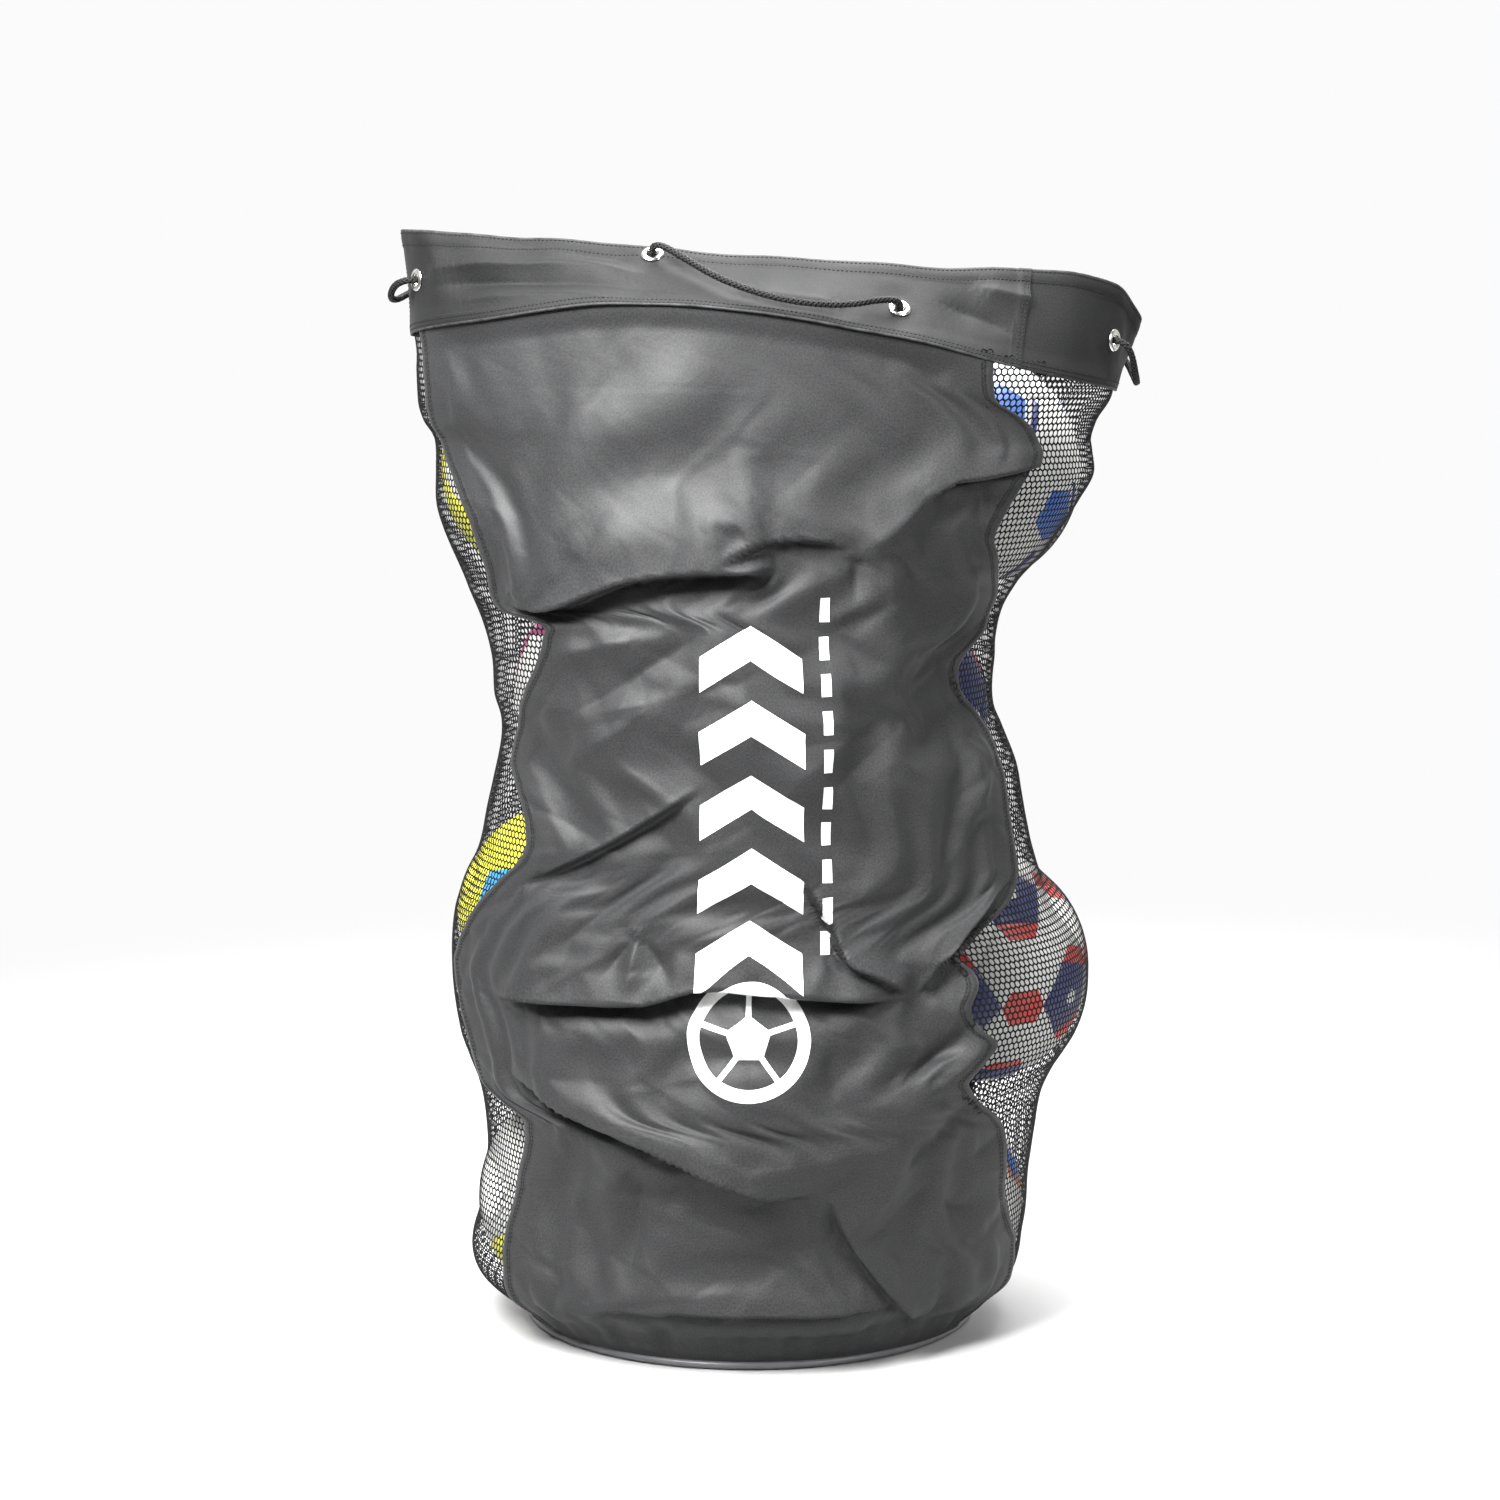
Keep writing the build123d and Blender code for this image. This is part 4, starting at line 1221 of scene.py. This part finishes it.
def collar_cloth(name, node, start, end, rows, columns, folds):
    """A piece of the collar, hemmed at its rim and foot and cut out for the eyelets, and its stitches."""
    angle, rise = np.meshgrid(np.linspace(start, end, columns), np.linspace(0, 1, rows))
    base, normals = collar_surface(angle, rise), collar_normal(angle, rise)
    tall = np.linalg.norm(rim_point(angle) - body_point(angle, seam_height(angle)), axis=-1)
    from_low, from_top = rise * tall, (1 - rise) * tall
    from_side = np.minimum(angle - start, end - angle) / ONE_MM_ROUND
    eyelet_gap = np.linalg.norm(base[..., None, :] - eyelet_places, axis=-1).min(-1)
    loose = smooth_step(eyelet_gap, *FOLDS_FROM)
    points = folded(base, normals, folds, base[..., 0], base[..., 2], COLLAR_FOLD_STRENGTH * loose)
    wave = sum(np.sin(np.radians(angle) * waves + start_turn + rise * lean) * high
               for waves, start_turn, high, lean in COLLAR_WAVES)
    points += normals * (wave * loose * smooth_step(from_low, 4, 50))[..., None]
    hems, beside = collar_relief(from_low, from_top, from_side)
    points += normals * (hems * smooth_step(eyelet_gap, *RELIEF_FROM) + beside * loose)[..., None]
    inside = normals * -HEM_THICK
    over_rim = [points[-1] + (0, 0, 0.5) + inside[-1] * 0.5]
    for depth in RIM_DEPTHS:
        row = -1 - round(depth * (rows - 1))
        over_rim.append(points[row] + inside[row] * 1.25)
    under_foot = [points[2] + inside[0], points[0] + inside[0] * 0.8 - (0, 0, 0.4)]
    whole = np.concatenate([np.array(under_foot), points, np.array(over_rim)])
    beyond = ((len(under_foot), len(over_rim)), (0, 0))
    gap = np.pad(eyelet_gap, beyond, mode="constant", constant_values=OUTSIDE)
    middle_gap = (gap[:-1, :-1] + gap[1:, 1:] + gap[1:, :-1] + gap[:-1, 1:]) / 4
    faces = grid_faces(*whole.shape[:2], keep=middle_gap > EYELET_HOLE)
    obj = new_mesh(name, whole.reshape(-1, 3) * MM, faces)
    # Where the finish paints shade into the stitch grooves.
    groove = near_lines(from_top, COLLAR_TOP_LINES, 0.8) + near_lines(from_low, COLLAR_LOW_LINES, 0.8)
    as_fabric(obj, node, beyond, cloth_u=angle / ONE_MM_ROUND * MM, cloth_v=from_low * MM,
              hem=np.minimum(from_low, from_top) * MM, groove=groove)

    def row_at(share_up):
        """Points and directions along the collar, each column at its own share of the way up."""
        place = share_up * (rows - 1)
        low = np.clip(place.astype(int), 0, rows - 2)
        share = (place - low)[:, None]
        every = np.arange(columns)
        line = points[low, every] * (1 - share) + points[low + 1, every] * share
        return line * MM, normals[low, every]

    seams = [row_at(line / tall[0]) for line in COLLAR_LOW_LINES]
    seams += [row_at(1 - line / tall[0]) for line in COLLAR_TOP_LINES]
    for line in COLLAR_SIDE_LINES:
        column = -1 - round(line * ONE_MM_ROUND / ((end - start) / (columns - 1)))
        seams.append((points[4:-3, column] * MM, normals[4:-3, column]))
    return obj, stitching(f"{name}_stitching", seams)


collar_front, collar_front_thread = collar_cloth(
    "collar_front_cloth", "collar_front", COLLAR_SPLIT[0], COLLAR_SPLIT[1] + COLLAR_OVERLAP, 52, 330,
    COLLAR_FOLDS)
collar_back, collar_back_thread = collar_cloth(
    "collar_back_cloth", "collar_back", COLLAR_SPLIT[1] - COLLAR_OVERLAP, COLLAR_SPLIT[2] + COLLAR_OVERLAP,
    46, 400, [])

# ---------------------------------------------------------------- the footballs

GOLDEN = (1 + math.sqrt(5)) / 2
COLOURS = {
    "white": (0.72, 0.72, 0.70), "yellow": (0.78, 0.76, 0.03), "blue": (0.02, 0.13, 0.52),
    "sky": (0.03, 0.30, 0.62), "red": (0.62, 0.035, 0.02), "navy": (0.015, 0.03, 0.16),
    "magenta": (0.35, 0.012, 0.14), "orange": (0.75, 0.22, 0.02), "black": (0.02, 0.02, 0.022),
}
# For each ball: its cover, two colours, a pattern, and a turn about the upright and the sideways axis.
BALL_LOOKS = [
    ("white", "yellow", "yellow", "blocks", 40, 10),
    ("white", "blue", "orange", "darts", 10, 25),
    ("white", "red", "navy", "darts", 0, 0),
    ("white", "blue", "sky", "blocks", 75, 0),
    ("white", "red", "navy", "cross", 24, 12),
    ("white", "yellow", "black", "classic", 15, 35),
    ("white", "yellow", "sky", "blocks", 25, 60),
    ("white", "red", "red", "darts", 60, 20),
    ("red", "navy", "white", "blocks", 20, 15),
    ("white", "magenta", "magenta", "darts", 45, 30),
    ("white", "yellow", "black", "darts", 15, 15),
    ("white", "red", "black", "classic", 80, 45),
    ("white", "navy", "blue", "marks", 20, 25),
    ("yellow", "white", "black", "blocks", 60, 10),
]


def football_panels():
    """The 12 five-sided and 20 six-sided panels of a football, each a ring of corner directions."""
    ico = [np.array(p) for sign in (-1, 1) for other in (-1, 1)
           for p in ((0, sign, other * GOLDEN), (sign, other * GOLDEN, 0), (other * GOLDEN, 0, sign))]
    ico = [p / np.linalg.norm(p) for p in ico]
    near = {i: [j for j in range(12) if j != i and np.linalg.norm(ico[i] - ico[j]) < 1.2] for i in range(12)}

    def ring(centre, corners):
        axis = centre / np.linalg.norm(centre)
        side = unit(np.cross(axis, (0.21, 0.34, 0.91)))
        other = np.cross(axis, side)
        return sorted(corners, key=lambda c: math.atan2(np.dot(c, other), np.dot(c, side)))

    panels = []
    for i in range(12):
        panels.append(ring(ico[i], [unit(2 * ico[i] + ico[j]) for j in near[i]]))
    triples = [(i, j, k) for i in range(12) for j in near[i] if j > i
               for k in near[j] if k > j and k in near[i]]
    for i, j, k in triples:
        pairs = [(i, j), (j, i), (j, k), (k, j), (i, k), (k, i)]
        panels.append(ring(ico[i] + ico[j] + ico[k], [unit(2 * ico[a] + ico[b]) for a, b in pairs]))
    return panels


PANELS = football_panels()
# Shares of the way from a panel's middle to its seams at which it has a ring of vertices.
RING_SHARES = (0.0, 0.22, 0.42, 0.58, 0.72, 0.84, 0.92, 0.965, 1.0)
SIDE_PARTS = 8
FLATTENED = 0.94          # keeps the rings inside a panel evenly spread
# Depth and width of the groove at a seam, and of the panel's rounding towards it.
GROOVE_DEPTH, GROOVE_WIDTH, ROUNDING_DEPTH, ROUNDING_WIDTH = 1.5, 1.5, 0.5, 7


def panel_tint(panel, sides, sector, share, pattern, seed):
    """Which of a ball's colours a part of a panel has: 0 cover, 1 first, 2 second."""
    five = sides == 5
    if pattern == "classic":
        return (2 if share > 0.45 else 1) if five else 0
    if pattern == "darts":
        return 1 if five and share > 0.4 else 2 if not five and sector % 2 == seed % 2 and share > 0.66 else 0
    if pattern == "marks":
        return (2 if share < 0.7 else 0) if five else 1 if sector == 2 and share > 0.84 else 0
    if pattern == "cross":
        return (2 if share > 0.3 else 0) if five else 1 if sector % 3 == 1 and share > 0.5 else 0
    return (1, 0, 0, 2, 0)[(panel * 7 + seed) % 5] if five else (1, 0, 0, 0, 1, 0, 2)[(panel * 5 + seed) % 7]


def football(name, node, centre, look, body, seed):
    """A football of 32 panels, each domed between its seams."""
    pattern, turn_up, turn_side = look[3:]
    vertices, faces, tints = [], [], []
    for number, corners in enumerate(PANELS):
        sides = len(corners)
        middle = unit(sum(corners))
        rim = []
        for k in range(sides):
            a, b = corners[k], corners[(k + 1) % sides]
            rim += [a + (b - a) * part / SIDE_PARTS for part in range(SIDE_PARTS)]
        rim = np.array(rim)
        count = len(rim)
        start = len(vertices)
        across = np.linalg.norm(unit(rim) - middle, axis=1) * BALL_RADIUS
        vertices.append(middle * BALL_RADIUS)
        for share in RING_SHARES[1:]:
            lengths = np.linalg.norm(rim, axis=1)[:, None]
            place = unit(middle * lengths * FLATTENED * (1 - share) + rim * share)
            to_seam = (1 - share) * across
            depth = GROOVE_DEPTH * np.exp(-(to_seam / GROOVE_WIDTH) ** 1.3)
            depth += ROUNDING_DEPTH * np.exp(-to_seam / ROUNDING_WIDTH)
            vertices += list(place * (BALL_RADIUS - depth)[:, None])
        for k in range(count):
            faces.append((start, start + 1 + k, start + 1 + (k + 1) % count))
            tints.append(panel_tint(number, sides, k // SIDE_PARTS, RING_SHARES[1] / 2, pattern, seed))
        for level in range(len(RING_SHARES) - 2):
            low, high = start + 1 + level * count, start + 1 + (level + 1) * count
            share = (RING_SHARES[level + 1] + RING_SHARES[level + 2]) / 2
            for k in range(count):
                faces.append((low + k, high + k, high + (k + 1) % count, low + (k + 1) % count))
                tints.append(panel_tint(number, sides, k // SIDE_PARTS, share, pattern, seed))
    vertices = np.array(vertices)
    up, over = math.radians(turn_up), math.radians(turn_side)
    spin = np.array([[math.cos(up), -math.sin(up), 0], [math.sin(up), math.cos(up), 0], [0, 0, 1]])
    tip = np.array([[1, 0, 0], [0, math.cos(over), -math.sin(over)], [0, math.sin(over), math.cos(over)]])
    obj = new_mesh(name, (vertices @ (spin @ tip).T + centre) * MM, faces)
    layer = obj.data.attributes.new("tint", "FLOAT", "FACE")
    layer.data.foreach_set("value", np.array(tints, np.float32))
    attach(obj, body)
    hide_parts(node)
    return obj


# The two balls that can be lifted out, and each node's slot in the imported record.
LIFTED = {"ball_13": "top_ball_right", "ball_14": "top_ball_left"}
SLOTS = {name: node.data.materials[0].name.split(".")[0] for name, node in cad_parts.items()}
balls = []
for number, (centre, look) in enumerate(zip(ball_centres, BALL_LOOKS), start=1):
    node = f"ball_{number:02d}"
    ball = football(f"{node}_football", node, centre, look, LIFTED.get(node, "bag"), number)
    balls.append(ball)

# ---------------------------------------------------------------- the shoulder strap

STRAP_X, STRAP_WIDTH, STRAP_THICK = 105.0, 38.0, 2.0
# Depth and height of the strap's middle line.
STRAP_ROUTE = [(233, 862), (249, 790), (258, 690), (266, 600), (266, 400), (263, 300), (256, 200), (246, 92)]
RIBS = 12
RIB_HEIGHT = 0.22
PATCH_SIDE = 44.0
PATCH_THICK = 1.1
PATCH_SEAM = 4.0          # from a patch's edge
PATCH_LIFT, PATCH_EDGE, PATCH_SEAM_DEPTH, PATCH_WAVE = 1.9, 0.7, 0.5, 0.25
THREAD_LIFT = 2.15
SEAM_POINTS = 20


def webbing(name, line, width, thick):
    """A ribbed band along a line in the plane of Y and Z."""
    tangent = unit(np.gradient(line, axis=0))
    out = np.stack([0 * tangent[:, 0], tangent[:, 2], -tangent[:, 1]], -1)
    out *= np.where(out[:, 1:2] < 0, -1, 1)
    across = np.linspace(-1, 1, RIBS * 5 + 1)
    rib = RIB_HEIGHT * np.abs(np.cos(across * RIBS * math.pi / 2)) ** 0.6 - RIB_HEIGHT / 2
    edge = 1 - np.abs(across) ** 14 * 0.75
    half = (thick / 2 - 0.12) * edge + rib * edge
    section = [(a * width / 2, h) for a, h in zip(across, half)]
    section += [(a * width / 2, -h) for a, h in zip(across[::-1], half[::-1])]
    section = np.array(section)
    points = line[:, None] + out[:, None] * section[None, :, 1:2]
    points[..., 0] += section[None, :, 0]
    faces = grid_faces(len(line), len(section), wrap=True).tolist()
    count = len(section)
    for start, turn in ((0, 1), ((len(line) - 1) * count, -1)):
        faces += [[start + k, start + k + 1, start + count - 2 - k, start + count - 1 - k][::turn]
                  for k in range(count // 2 - 1)]
    obj = new_mesh(name, points.reshape(-1, 3) * MM, faces)
    along = np.r_[0, np.cumsum(np.linalg.norm(np.diff(line, axis=0), axis=1))]
    set_value(obj, "cloth_u", np.tile(section[:, 0], len(line)) * MM)
    set_value(obj, "cloth_v", np.repeat(along, count) * MM)
    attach(obj, "bag")
    return obj


def strap_patch(name, node, low, high):
    """A soft square of coated fabric over one sewn end of the strap, with a crossed box of stitches."""
    low, high = np.array((STRAP_X, *low), float), np.array((STRAP_X, *high), float)
    middle, up = (low + high) / 2, unit(high - low)
    right = np.array([1.0, 0, 0])
    out = np.cross(up, right)
    out *= np.sign(out[1])
    places = np.r_[-1.0, -0.985, -0.95, np.linspace(-0.9, 0.9, 37), 0.95, 0.985, 1.0]
    a, b = np.meshgrid(places, places)
    edge = (1 - np.maximum(np.abs(a), np.abs(b))) * PATCH_SIDE / 2
    inside = smooth_step(edge, 3.2, 4.2)
    box_gap = np.abs(edge - PATCH_SEAM)
    crossed = np.minimum(np.abs(np.abs(a) - np.abs(b)) * PATCH_SIDE / 2.8, box_gap)
    crossed = np.where(edge > 3.4, crossed, box_gap)
    seam = PATCH_SEAM_DEPTH * np.exp(-(crossed / 1.1) ** 2) * np.maximum(inside, 0.4)
    lift = PATCH_LIFT + PATCH_EDGE * smooth_step(edge, 0, 1.2) - seam
    lift += PATCH_WAVE * np.sin(a * 5 + 1) * np.sin(b * 4) * inside
    corner = 1 - 0.03 * (np.abs(a) * np.abs(b)) ** 6
    half = PATCH_SIDE / 2
    top = (middle + right * (a * corner * half)[..., None] + up * (b * corner * half)[..., None]
           + out * lift[..., None])
    count = len(places)
    obj = new_mesh(name, top.reshape(-1, 3) * MM, grid_faces(count, count))
    solid = obj.modifiers.new("thickness", "SOLIDIFY")
    solid.thickness = PATCH_THICK * MM
    solid.offset = -1 if (obj.data.polygons[count * 20].normal @ Vector(out)) > 0 else 1
    as_fabric(obj, node, 0, cloth_u=a * half * MM, cloth_v=b * half * MM, hem=edge * MM)
    reach = half - PATCH_SEAM
    box = [(-1, -1), (1, -1), (1, 1), (-1, 1), (-1, -1)]
    runs = list(zip(box, box[1:])) + [((-1, -1), (1, 1)), ((-1, 1), (1, -1))]
    share = np.linspace(0.03, 0.97, SEAM_POINTS)[:, None]
    seams = []
    for start, end in runs:
        flat = np.array(start) * (1 - share) + np.array(end) * share
        line = middle + right * flat[:, :1] * reach + up * flat[:, 1:] * reach + out * THREAD_LIFT
        seams.append((line * MM, np.tile(out, (SEAM_POINTS, 1))))
    return obj, stitching(f"{name}_stitching", seams)


strap_route = nurbs("strap_route", [(STRAP_X * MM, y * MM, z * MM) for y, z in STRAP_ROUTE])
strap_line = resampled(line_of(strap_route) / MM, 2.0)[0]
bpy.data.objects.remove(strap_route)
strap = webbing("shoulder_strap_webbing", strap_line, STRAP_WIDTH, STRAP_THICK)
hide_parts("shoulder_strap")
patch_top, patch_top_thread = strap_patch(
    "strap_patch_top_cloth", "strap_patch_top", STRAP_ROUTE[1], STRAP_ROUTE[0])
patch_bottom, patch_bottom_thread = strap_patch(
    "strap_patch_bottom_cloth", "strap_patch_bottom", STRAP_ROUTE[-1], STRAP_ROUTE[-2])

# ---------------------------------------------------------------- finishes

FABRIC_PITCH, FABRIC_DEPTH = 0.00062, 0.000012
INK = [0.80, 0.80, 0.79]


def tinted(colour, tone):
    """A colour made lighter or darker."""
    return [tone * part for part in colour]


def coated_fabric(name, tone=1.0, print_here=False):
    """Coated polyester: a fine satin weave, soft crumples, painted shade in the stitch grooves, and paler
    wear along the hems.
    """
    r = Recipe(name, Specular_IOR_Level=0.34 * tone, Sheen_Weight=0.02, Sheen_Roughness=0.5)
    where = cloth_place(r)
    dark, pale = tinted([0.005, 0.005, 0.0053], tone), tinted([0.008, 0.0081, 0.0086], tone)
    base = r.mottled(where, 9.0, dark, pale, 3.0)
    grain = r.spread(r.noise(where, 620.0, 2.0), 0.0, 0.62)
    base = r.mix(grain, base, tinted([0.034, 0.0345, 0.036], tone))
    worn = r.times(r.below(r.value("hem"), 0.0016), r.spread(r.noise(where, 70.0, 3.0), 0.0, 0.6))
    base = r.mix(worn, base, [0.07, 0.07, 0.073])
    # Painted shade: along the stitch lines the colour turns near black, as the grooves there would lie in
    # shade.
    base = r.mix(r.times(r.value("groove"), 0.85), base, [0.0015, 0.0015, 0.0015])
    rough = r.spread(r.noise(where, 22.0, 3.0), 0.55, 0.65)
    if print_here:
        rubbed = r.spread(r.noise(where, 260.0, 3.0), 0.86, 1.0)
        ink = r.times(printed(r), rubbed)
        base = r.mix(ink, base, INK)
        rough = r.plus(rough, r.times(ink, 0.12))
    r.set("Base Color", base)
    r.set("Roughness", rough)
    crumple = r.times(r.noise(where, 34.0, 4.0, 0.55), 0.0005)
    r.bump(crumple, r.times(r.noise(where, 330.0, 2.0), 0.00005), woven(r, FABRIC_PITCH, FABRIC_DEPTH))
    return r.material


# The print's places and sizes on the front panel, in metres.
ARROWS_FROM, ARROW_PITCH, ARROW_COUNT = 0.378, 0.064, 5
ARROW_HALF, ARROW_SLOPE, ARROW_FILLED = 0.046, -0.62, 0.47
DASHES_X, DASH_PITCH, DASH_COUNT = 0.066, 0.032, 10
DASH_HALF, DASH_FILLED = 0.0042, 0.62
BALL_Z, BALL_RING, BALL_RING_HALF = 0.307, 0.0475, 0.0055
FIVE_SIDE, SPOKE_HALF, SPOKE_FROM, SPOKE_TO = 0.0165, 0.0024, 0.018, 0.045


def marks(r, place, filled, count):
    """1 on the filled share of each step, for a count of steps from 0."""
    stripe = r.below(r.math("FRACT", place), filled)
    return r.times(stripe, r.times(r.above(place, 0.0), r.below(place, float(count))))


def arrow_column(r, x, z):
    """Arrows one above the other, each pointing up."""
    tip = r.minus(z, r.times(r.math("ABSOLUTE", x), ARROW_SLOPE))
    step = r.math("DIVIDE", r.minus(tip, ARROWS_FROM), ARROW_PITCH)
    return r.times(marks(r, step, ARROW_FILLED, ARROW_COUNT), r.within(x, ARROW_HALF))


def dash_row(r, x, z):
    """An upright row of dashes beside the arrows."""
    step = r.math("DIVIDE", r.minus(z, ARROWS_FROM), DASH_PITCH)
    return r.times(marks(r, step, DASH_FILLED, DASH_COUNT), r.within(r.minus(x, DASHES_X), DASH_HALF))


def ball_roundel(r, x, z):
    """The parts of a simple ball: a ring, a five-sided middle and five spokes."""
    low = r.minus(z, BALL_Z)
    away = r.math("SQRT", r.plus(r.times(x, x), r.times(low, low)))
    fifth = 2 * math.pi / 5
    turn = r.math("FRACT", r.plus(r.math("DIVIDE", r.math("ARCTAN2", x, low), fifth), 10.5))
    local = r.minus(r.times(turn, fifth), fifth / 2)
    flat = r.times(away, r.math("COSINE", r.minus(r.math("ABSOLUTE", local), fifth / 2)))
    on_spoke = r.within(r.times(away, r.math("SINE", local)), SPOKE_HALF)
    spoke = r.times(on_spoke, r.times(r.above(away, SPOKE_FROM), r.below(away, SPOKE_TO)))
    return r.within(r.minus(away, BALL_RING), BALL_RING_HALF), r.below(flat, FIVE_SIDE), spoke


def printed(r):
    """The front panel's plain white print: a ball roundel, a column of arrows and a row of dashes."""
    x, z = r.value("print_x"), r.value("print_z")
    total = arrow_column(r, x, z)
    for part in (*ball_roundel(r, x, z), dash_row(r, x, z)):
        total = r.math("MAXIMUM", total, part)
    return total


def yarn(name, gloss, colours, tone_scale, fibre_scale, fibre_depth, fibre_detail=2.0, on_cloth=False):
    """Dark yarn whose tone drifts along it, with the roughness of its fibres."""
    r = Recipe(name, 0.6, Specular_IOR_Level=gloss)
    where = cloth_place(r) if on_cloth else r.position()
    r.set("Base Color", r.mottled(where, tone_scale, *colours))
    r.bump(r.times(r.noise(where, fibre_scale, fibre_detail), fibre_depth))
    return r.material


def strap_yarn():
    """The strap's polyester webbing."""
    r = Recipe("strap_yarn", 0.55, Specular_IOR_Level=0.4, Sheen_Weight=0.15, Sheen_Roughness=0.4)
    where = cloth_place(r)
    r.set("Base Color", r.mottled(where, 240.0, [0.014, 0.014, 0.016], [0.034, 0.034, 0.037], 3.0))
    r.bump(woven(r, 0.0011, 0.00012), r.times(r.noise(where, 2400.0, 1.0), 0.00008))
    return r.material


def ball_cover(number, look):
    """A football's cover in its colours, with a fine grain and faint scuffs."""
    cover, one, other = (COLOURS[c] for c in look[:3])
    r = Recipe(f"ball_cover_{number:02d}", Specular_IOR_Level=0.5, Coat_Weight=0.15, Coat_Roughness=0.3)
    tint, where = r.value("tint"), r.position()
    colour = r.mix(r.above(tint, 0.5), list(cover), list(one))
    colour = r.mix(r.above(tint, 1.5), colour, list(other))
    scuffs = r.times(r.spread(r.noise(where, 28.0, 5.0, 0.6), 0.0, 1.0), 0.16)
    r.set("Base Color", r.mix(scuffs, colour, [0.30, 0.29, 0.27]))
    r.set("Roughness", r.spread(r.noise(where, 40.0, 3.0), 0.34, 0.5))
    r.bump(r.times(r.add("TexVoronoi", Vector=where, Scale=620.0), 0.00012))
    return r.material


def hard(name, colour, roughness, metal=0.0, scale=600.0, depth=0.00002):
    """A moulded or plated finish: faint tone changes and fine marks."""
    r = Recipe(name, Metallic=metal, Specular_IOR_Level=0.5)
    where = r.position()
    r.set("Base Color", r.mottled(where, 60.0, list(colour), [min(c * 1.25, 1.0) for c in colour], 3.0))
    r.set("Roughness", r.spread(r.noise(where, 90.0, 3.0), roughness * 0.8, roughness * 1.2))
    r.bump(r.times(r.noise(where, scale, 3.0), depth))
    return r.material


def flat_weave(name, colour, pitch):
    """A plain fabric whose threads run across and along the floor."""
    r = Recipe(name, 0.6, Specular_IOR_Level=0.35)
    where = r.position()
    split = r.add("SeparateXYZ", where)
    u = r.math("SINE", r.times(split, math.pi / pitch))
    v = r.math("SINE", r.times(split.node.outputs[1], math.pi / pitch))
    r.set("Base Color", r.mottled(where, 40.0, tinted(colour, 0.8), tinted(colour, 1.2), 3.0))
    r.bump(r.times(r.times(u, v), 0.00006))
    return r.material


def finish_with(material, *pieces):
    """Makes a material the only one of some pieces."""
    for piece in pieces:
        piece.data.materials.clear()
        piece.data.materials.append(material)


SOOT = [0.003, 0.003, 0.003]
finish_with(coated_fabric("coated_fabric_printed", print_here=True), front_panel)
finish_with(coated_fabric("coated_fabric"), back_panel, patch_top, patch_bottom)
# Painted shade: the collar is the panels' fabric with its colours and gloss scaled down to 0.52, because it
# stands nearest the key light and would show brighter.
finish_with(coated_fabric("collar_fabric_painted_darker", tone=0.52), collar_front, collar_back)
finish_with(yarn("net_yarn", 0.1, ([0.003, 0.003, 0.0035], [0.010, 0.010, 0.011]), 300.0, 1800.0, 0.0003,
                 on_cloth=True), mesh_left, mesh_right)
finish_with(yarn("cord_yarn", 0.25, (SOOT, [0.012, 0.012, 0.012]), 900.0, 3500.0, 0.0002),
            drawcord, *knot_pieces)
threads = (front_thread, back_thread, collar_front_thread, collar_back_thread, patch_top_thread,
           patch_bottom_thread)
finish_with(yarn("sewing_thread", 0.2, (SOOT, [0.010, 0.010, 0.010]), 500.0, 4000.0, 0.0001, 1.0), *threads)
finish_with(strap_yarn(), strap)
for number, (ball, look) in enumerate(zip(balls, BALL_LOOKS), start=1):
    finish_with(ball_cover(number, look), ball)
# The finish of each slot whose CAD nodes are shown as they are.
NODE_FINISHES = {
    "eyelet_metal": hard("eyelet_nickel", (0.66, 0.65, 0.62), 0.24, 1.0),
    "lock_plastic": hard("lock_plastic", (0.018, 0.018, 0.019), 0.42, 0.0, 1400.0, 0.00004),
    "spring_steel": hard("spring_steel", (0.5, 0.5, 0.5), 0.3, 1.0),
    "piping": hard("piping_vinyl", (0.085, 0.085, 0.09), 0.38, 0.0, 300.0, 0.00005),
    "stiffener": hard("base_stiffener", (0.05, 0.05, 0.05), 0.6),
    "lining": flat_weave("base_lining", (0.035, 0.035, 0.037), 0.0007),
    "coated_fabric": flat_weave("base_cover", (0.030, 0.030, 0.033), 0.0007),
}
for name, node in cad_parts.items():
    if SLOTS[name] in NODE_FINISHES:
        finish_with(NODE_FINISHES[SLOTS[name]], node)

# ---------------------------------------------------------------- floor

FLOOR_RADIUS, FLOOR_SIDES = 3.2, 96
FLOOR_FADE = (0.7, 2.6)   # distances over which the floor fades into the room


def floor():
    """A pale round floor that fades into the room."""
    mesh = bpy.data.meshes.new("studio_floor")
    turns = np.linspace(0, 2 * math.pi, FLOOR_SIDES, endpoint=False)
    rim = [(FLOOR_RADIUS * math.cos(t), FLOOR_RADIUS * math.sin(t), 0) for t in turns]
    mesh.from_pydata(rim, [], [tuple(range(FLOOR_SIDES))])
    obj = bpy.data.objects.new("studio_floor", mesh)
    bpy.context.scene.collection.objects.link(obj)
    r = Recipe("studio_floor", 0.6, Specular_IOR_Level=0.2)
    r.set("Base Color", [0.41, 0.41, 0.41])
    x = r.add("SeparateXYZ", r.position())
    y = x.node.outputs[1]
    away = r.math("SQRT", r.plus(r.times(x, x), r.times(y, y)))
    r.set("Alpha", r.add("MapRange", away, *FLOOR_FADE, 1.0, 0.0, interpolation_type="SMOOTHSTEP"))
    finish_with(r.material, obj)


floor()
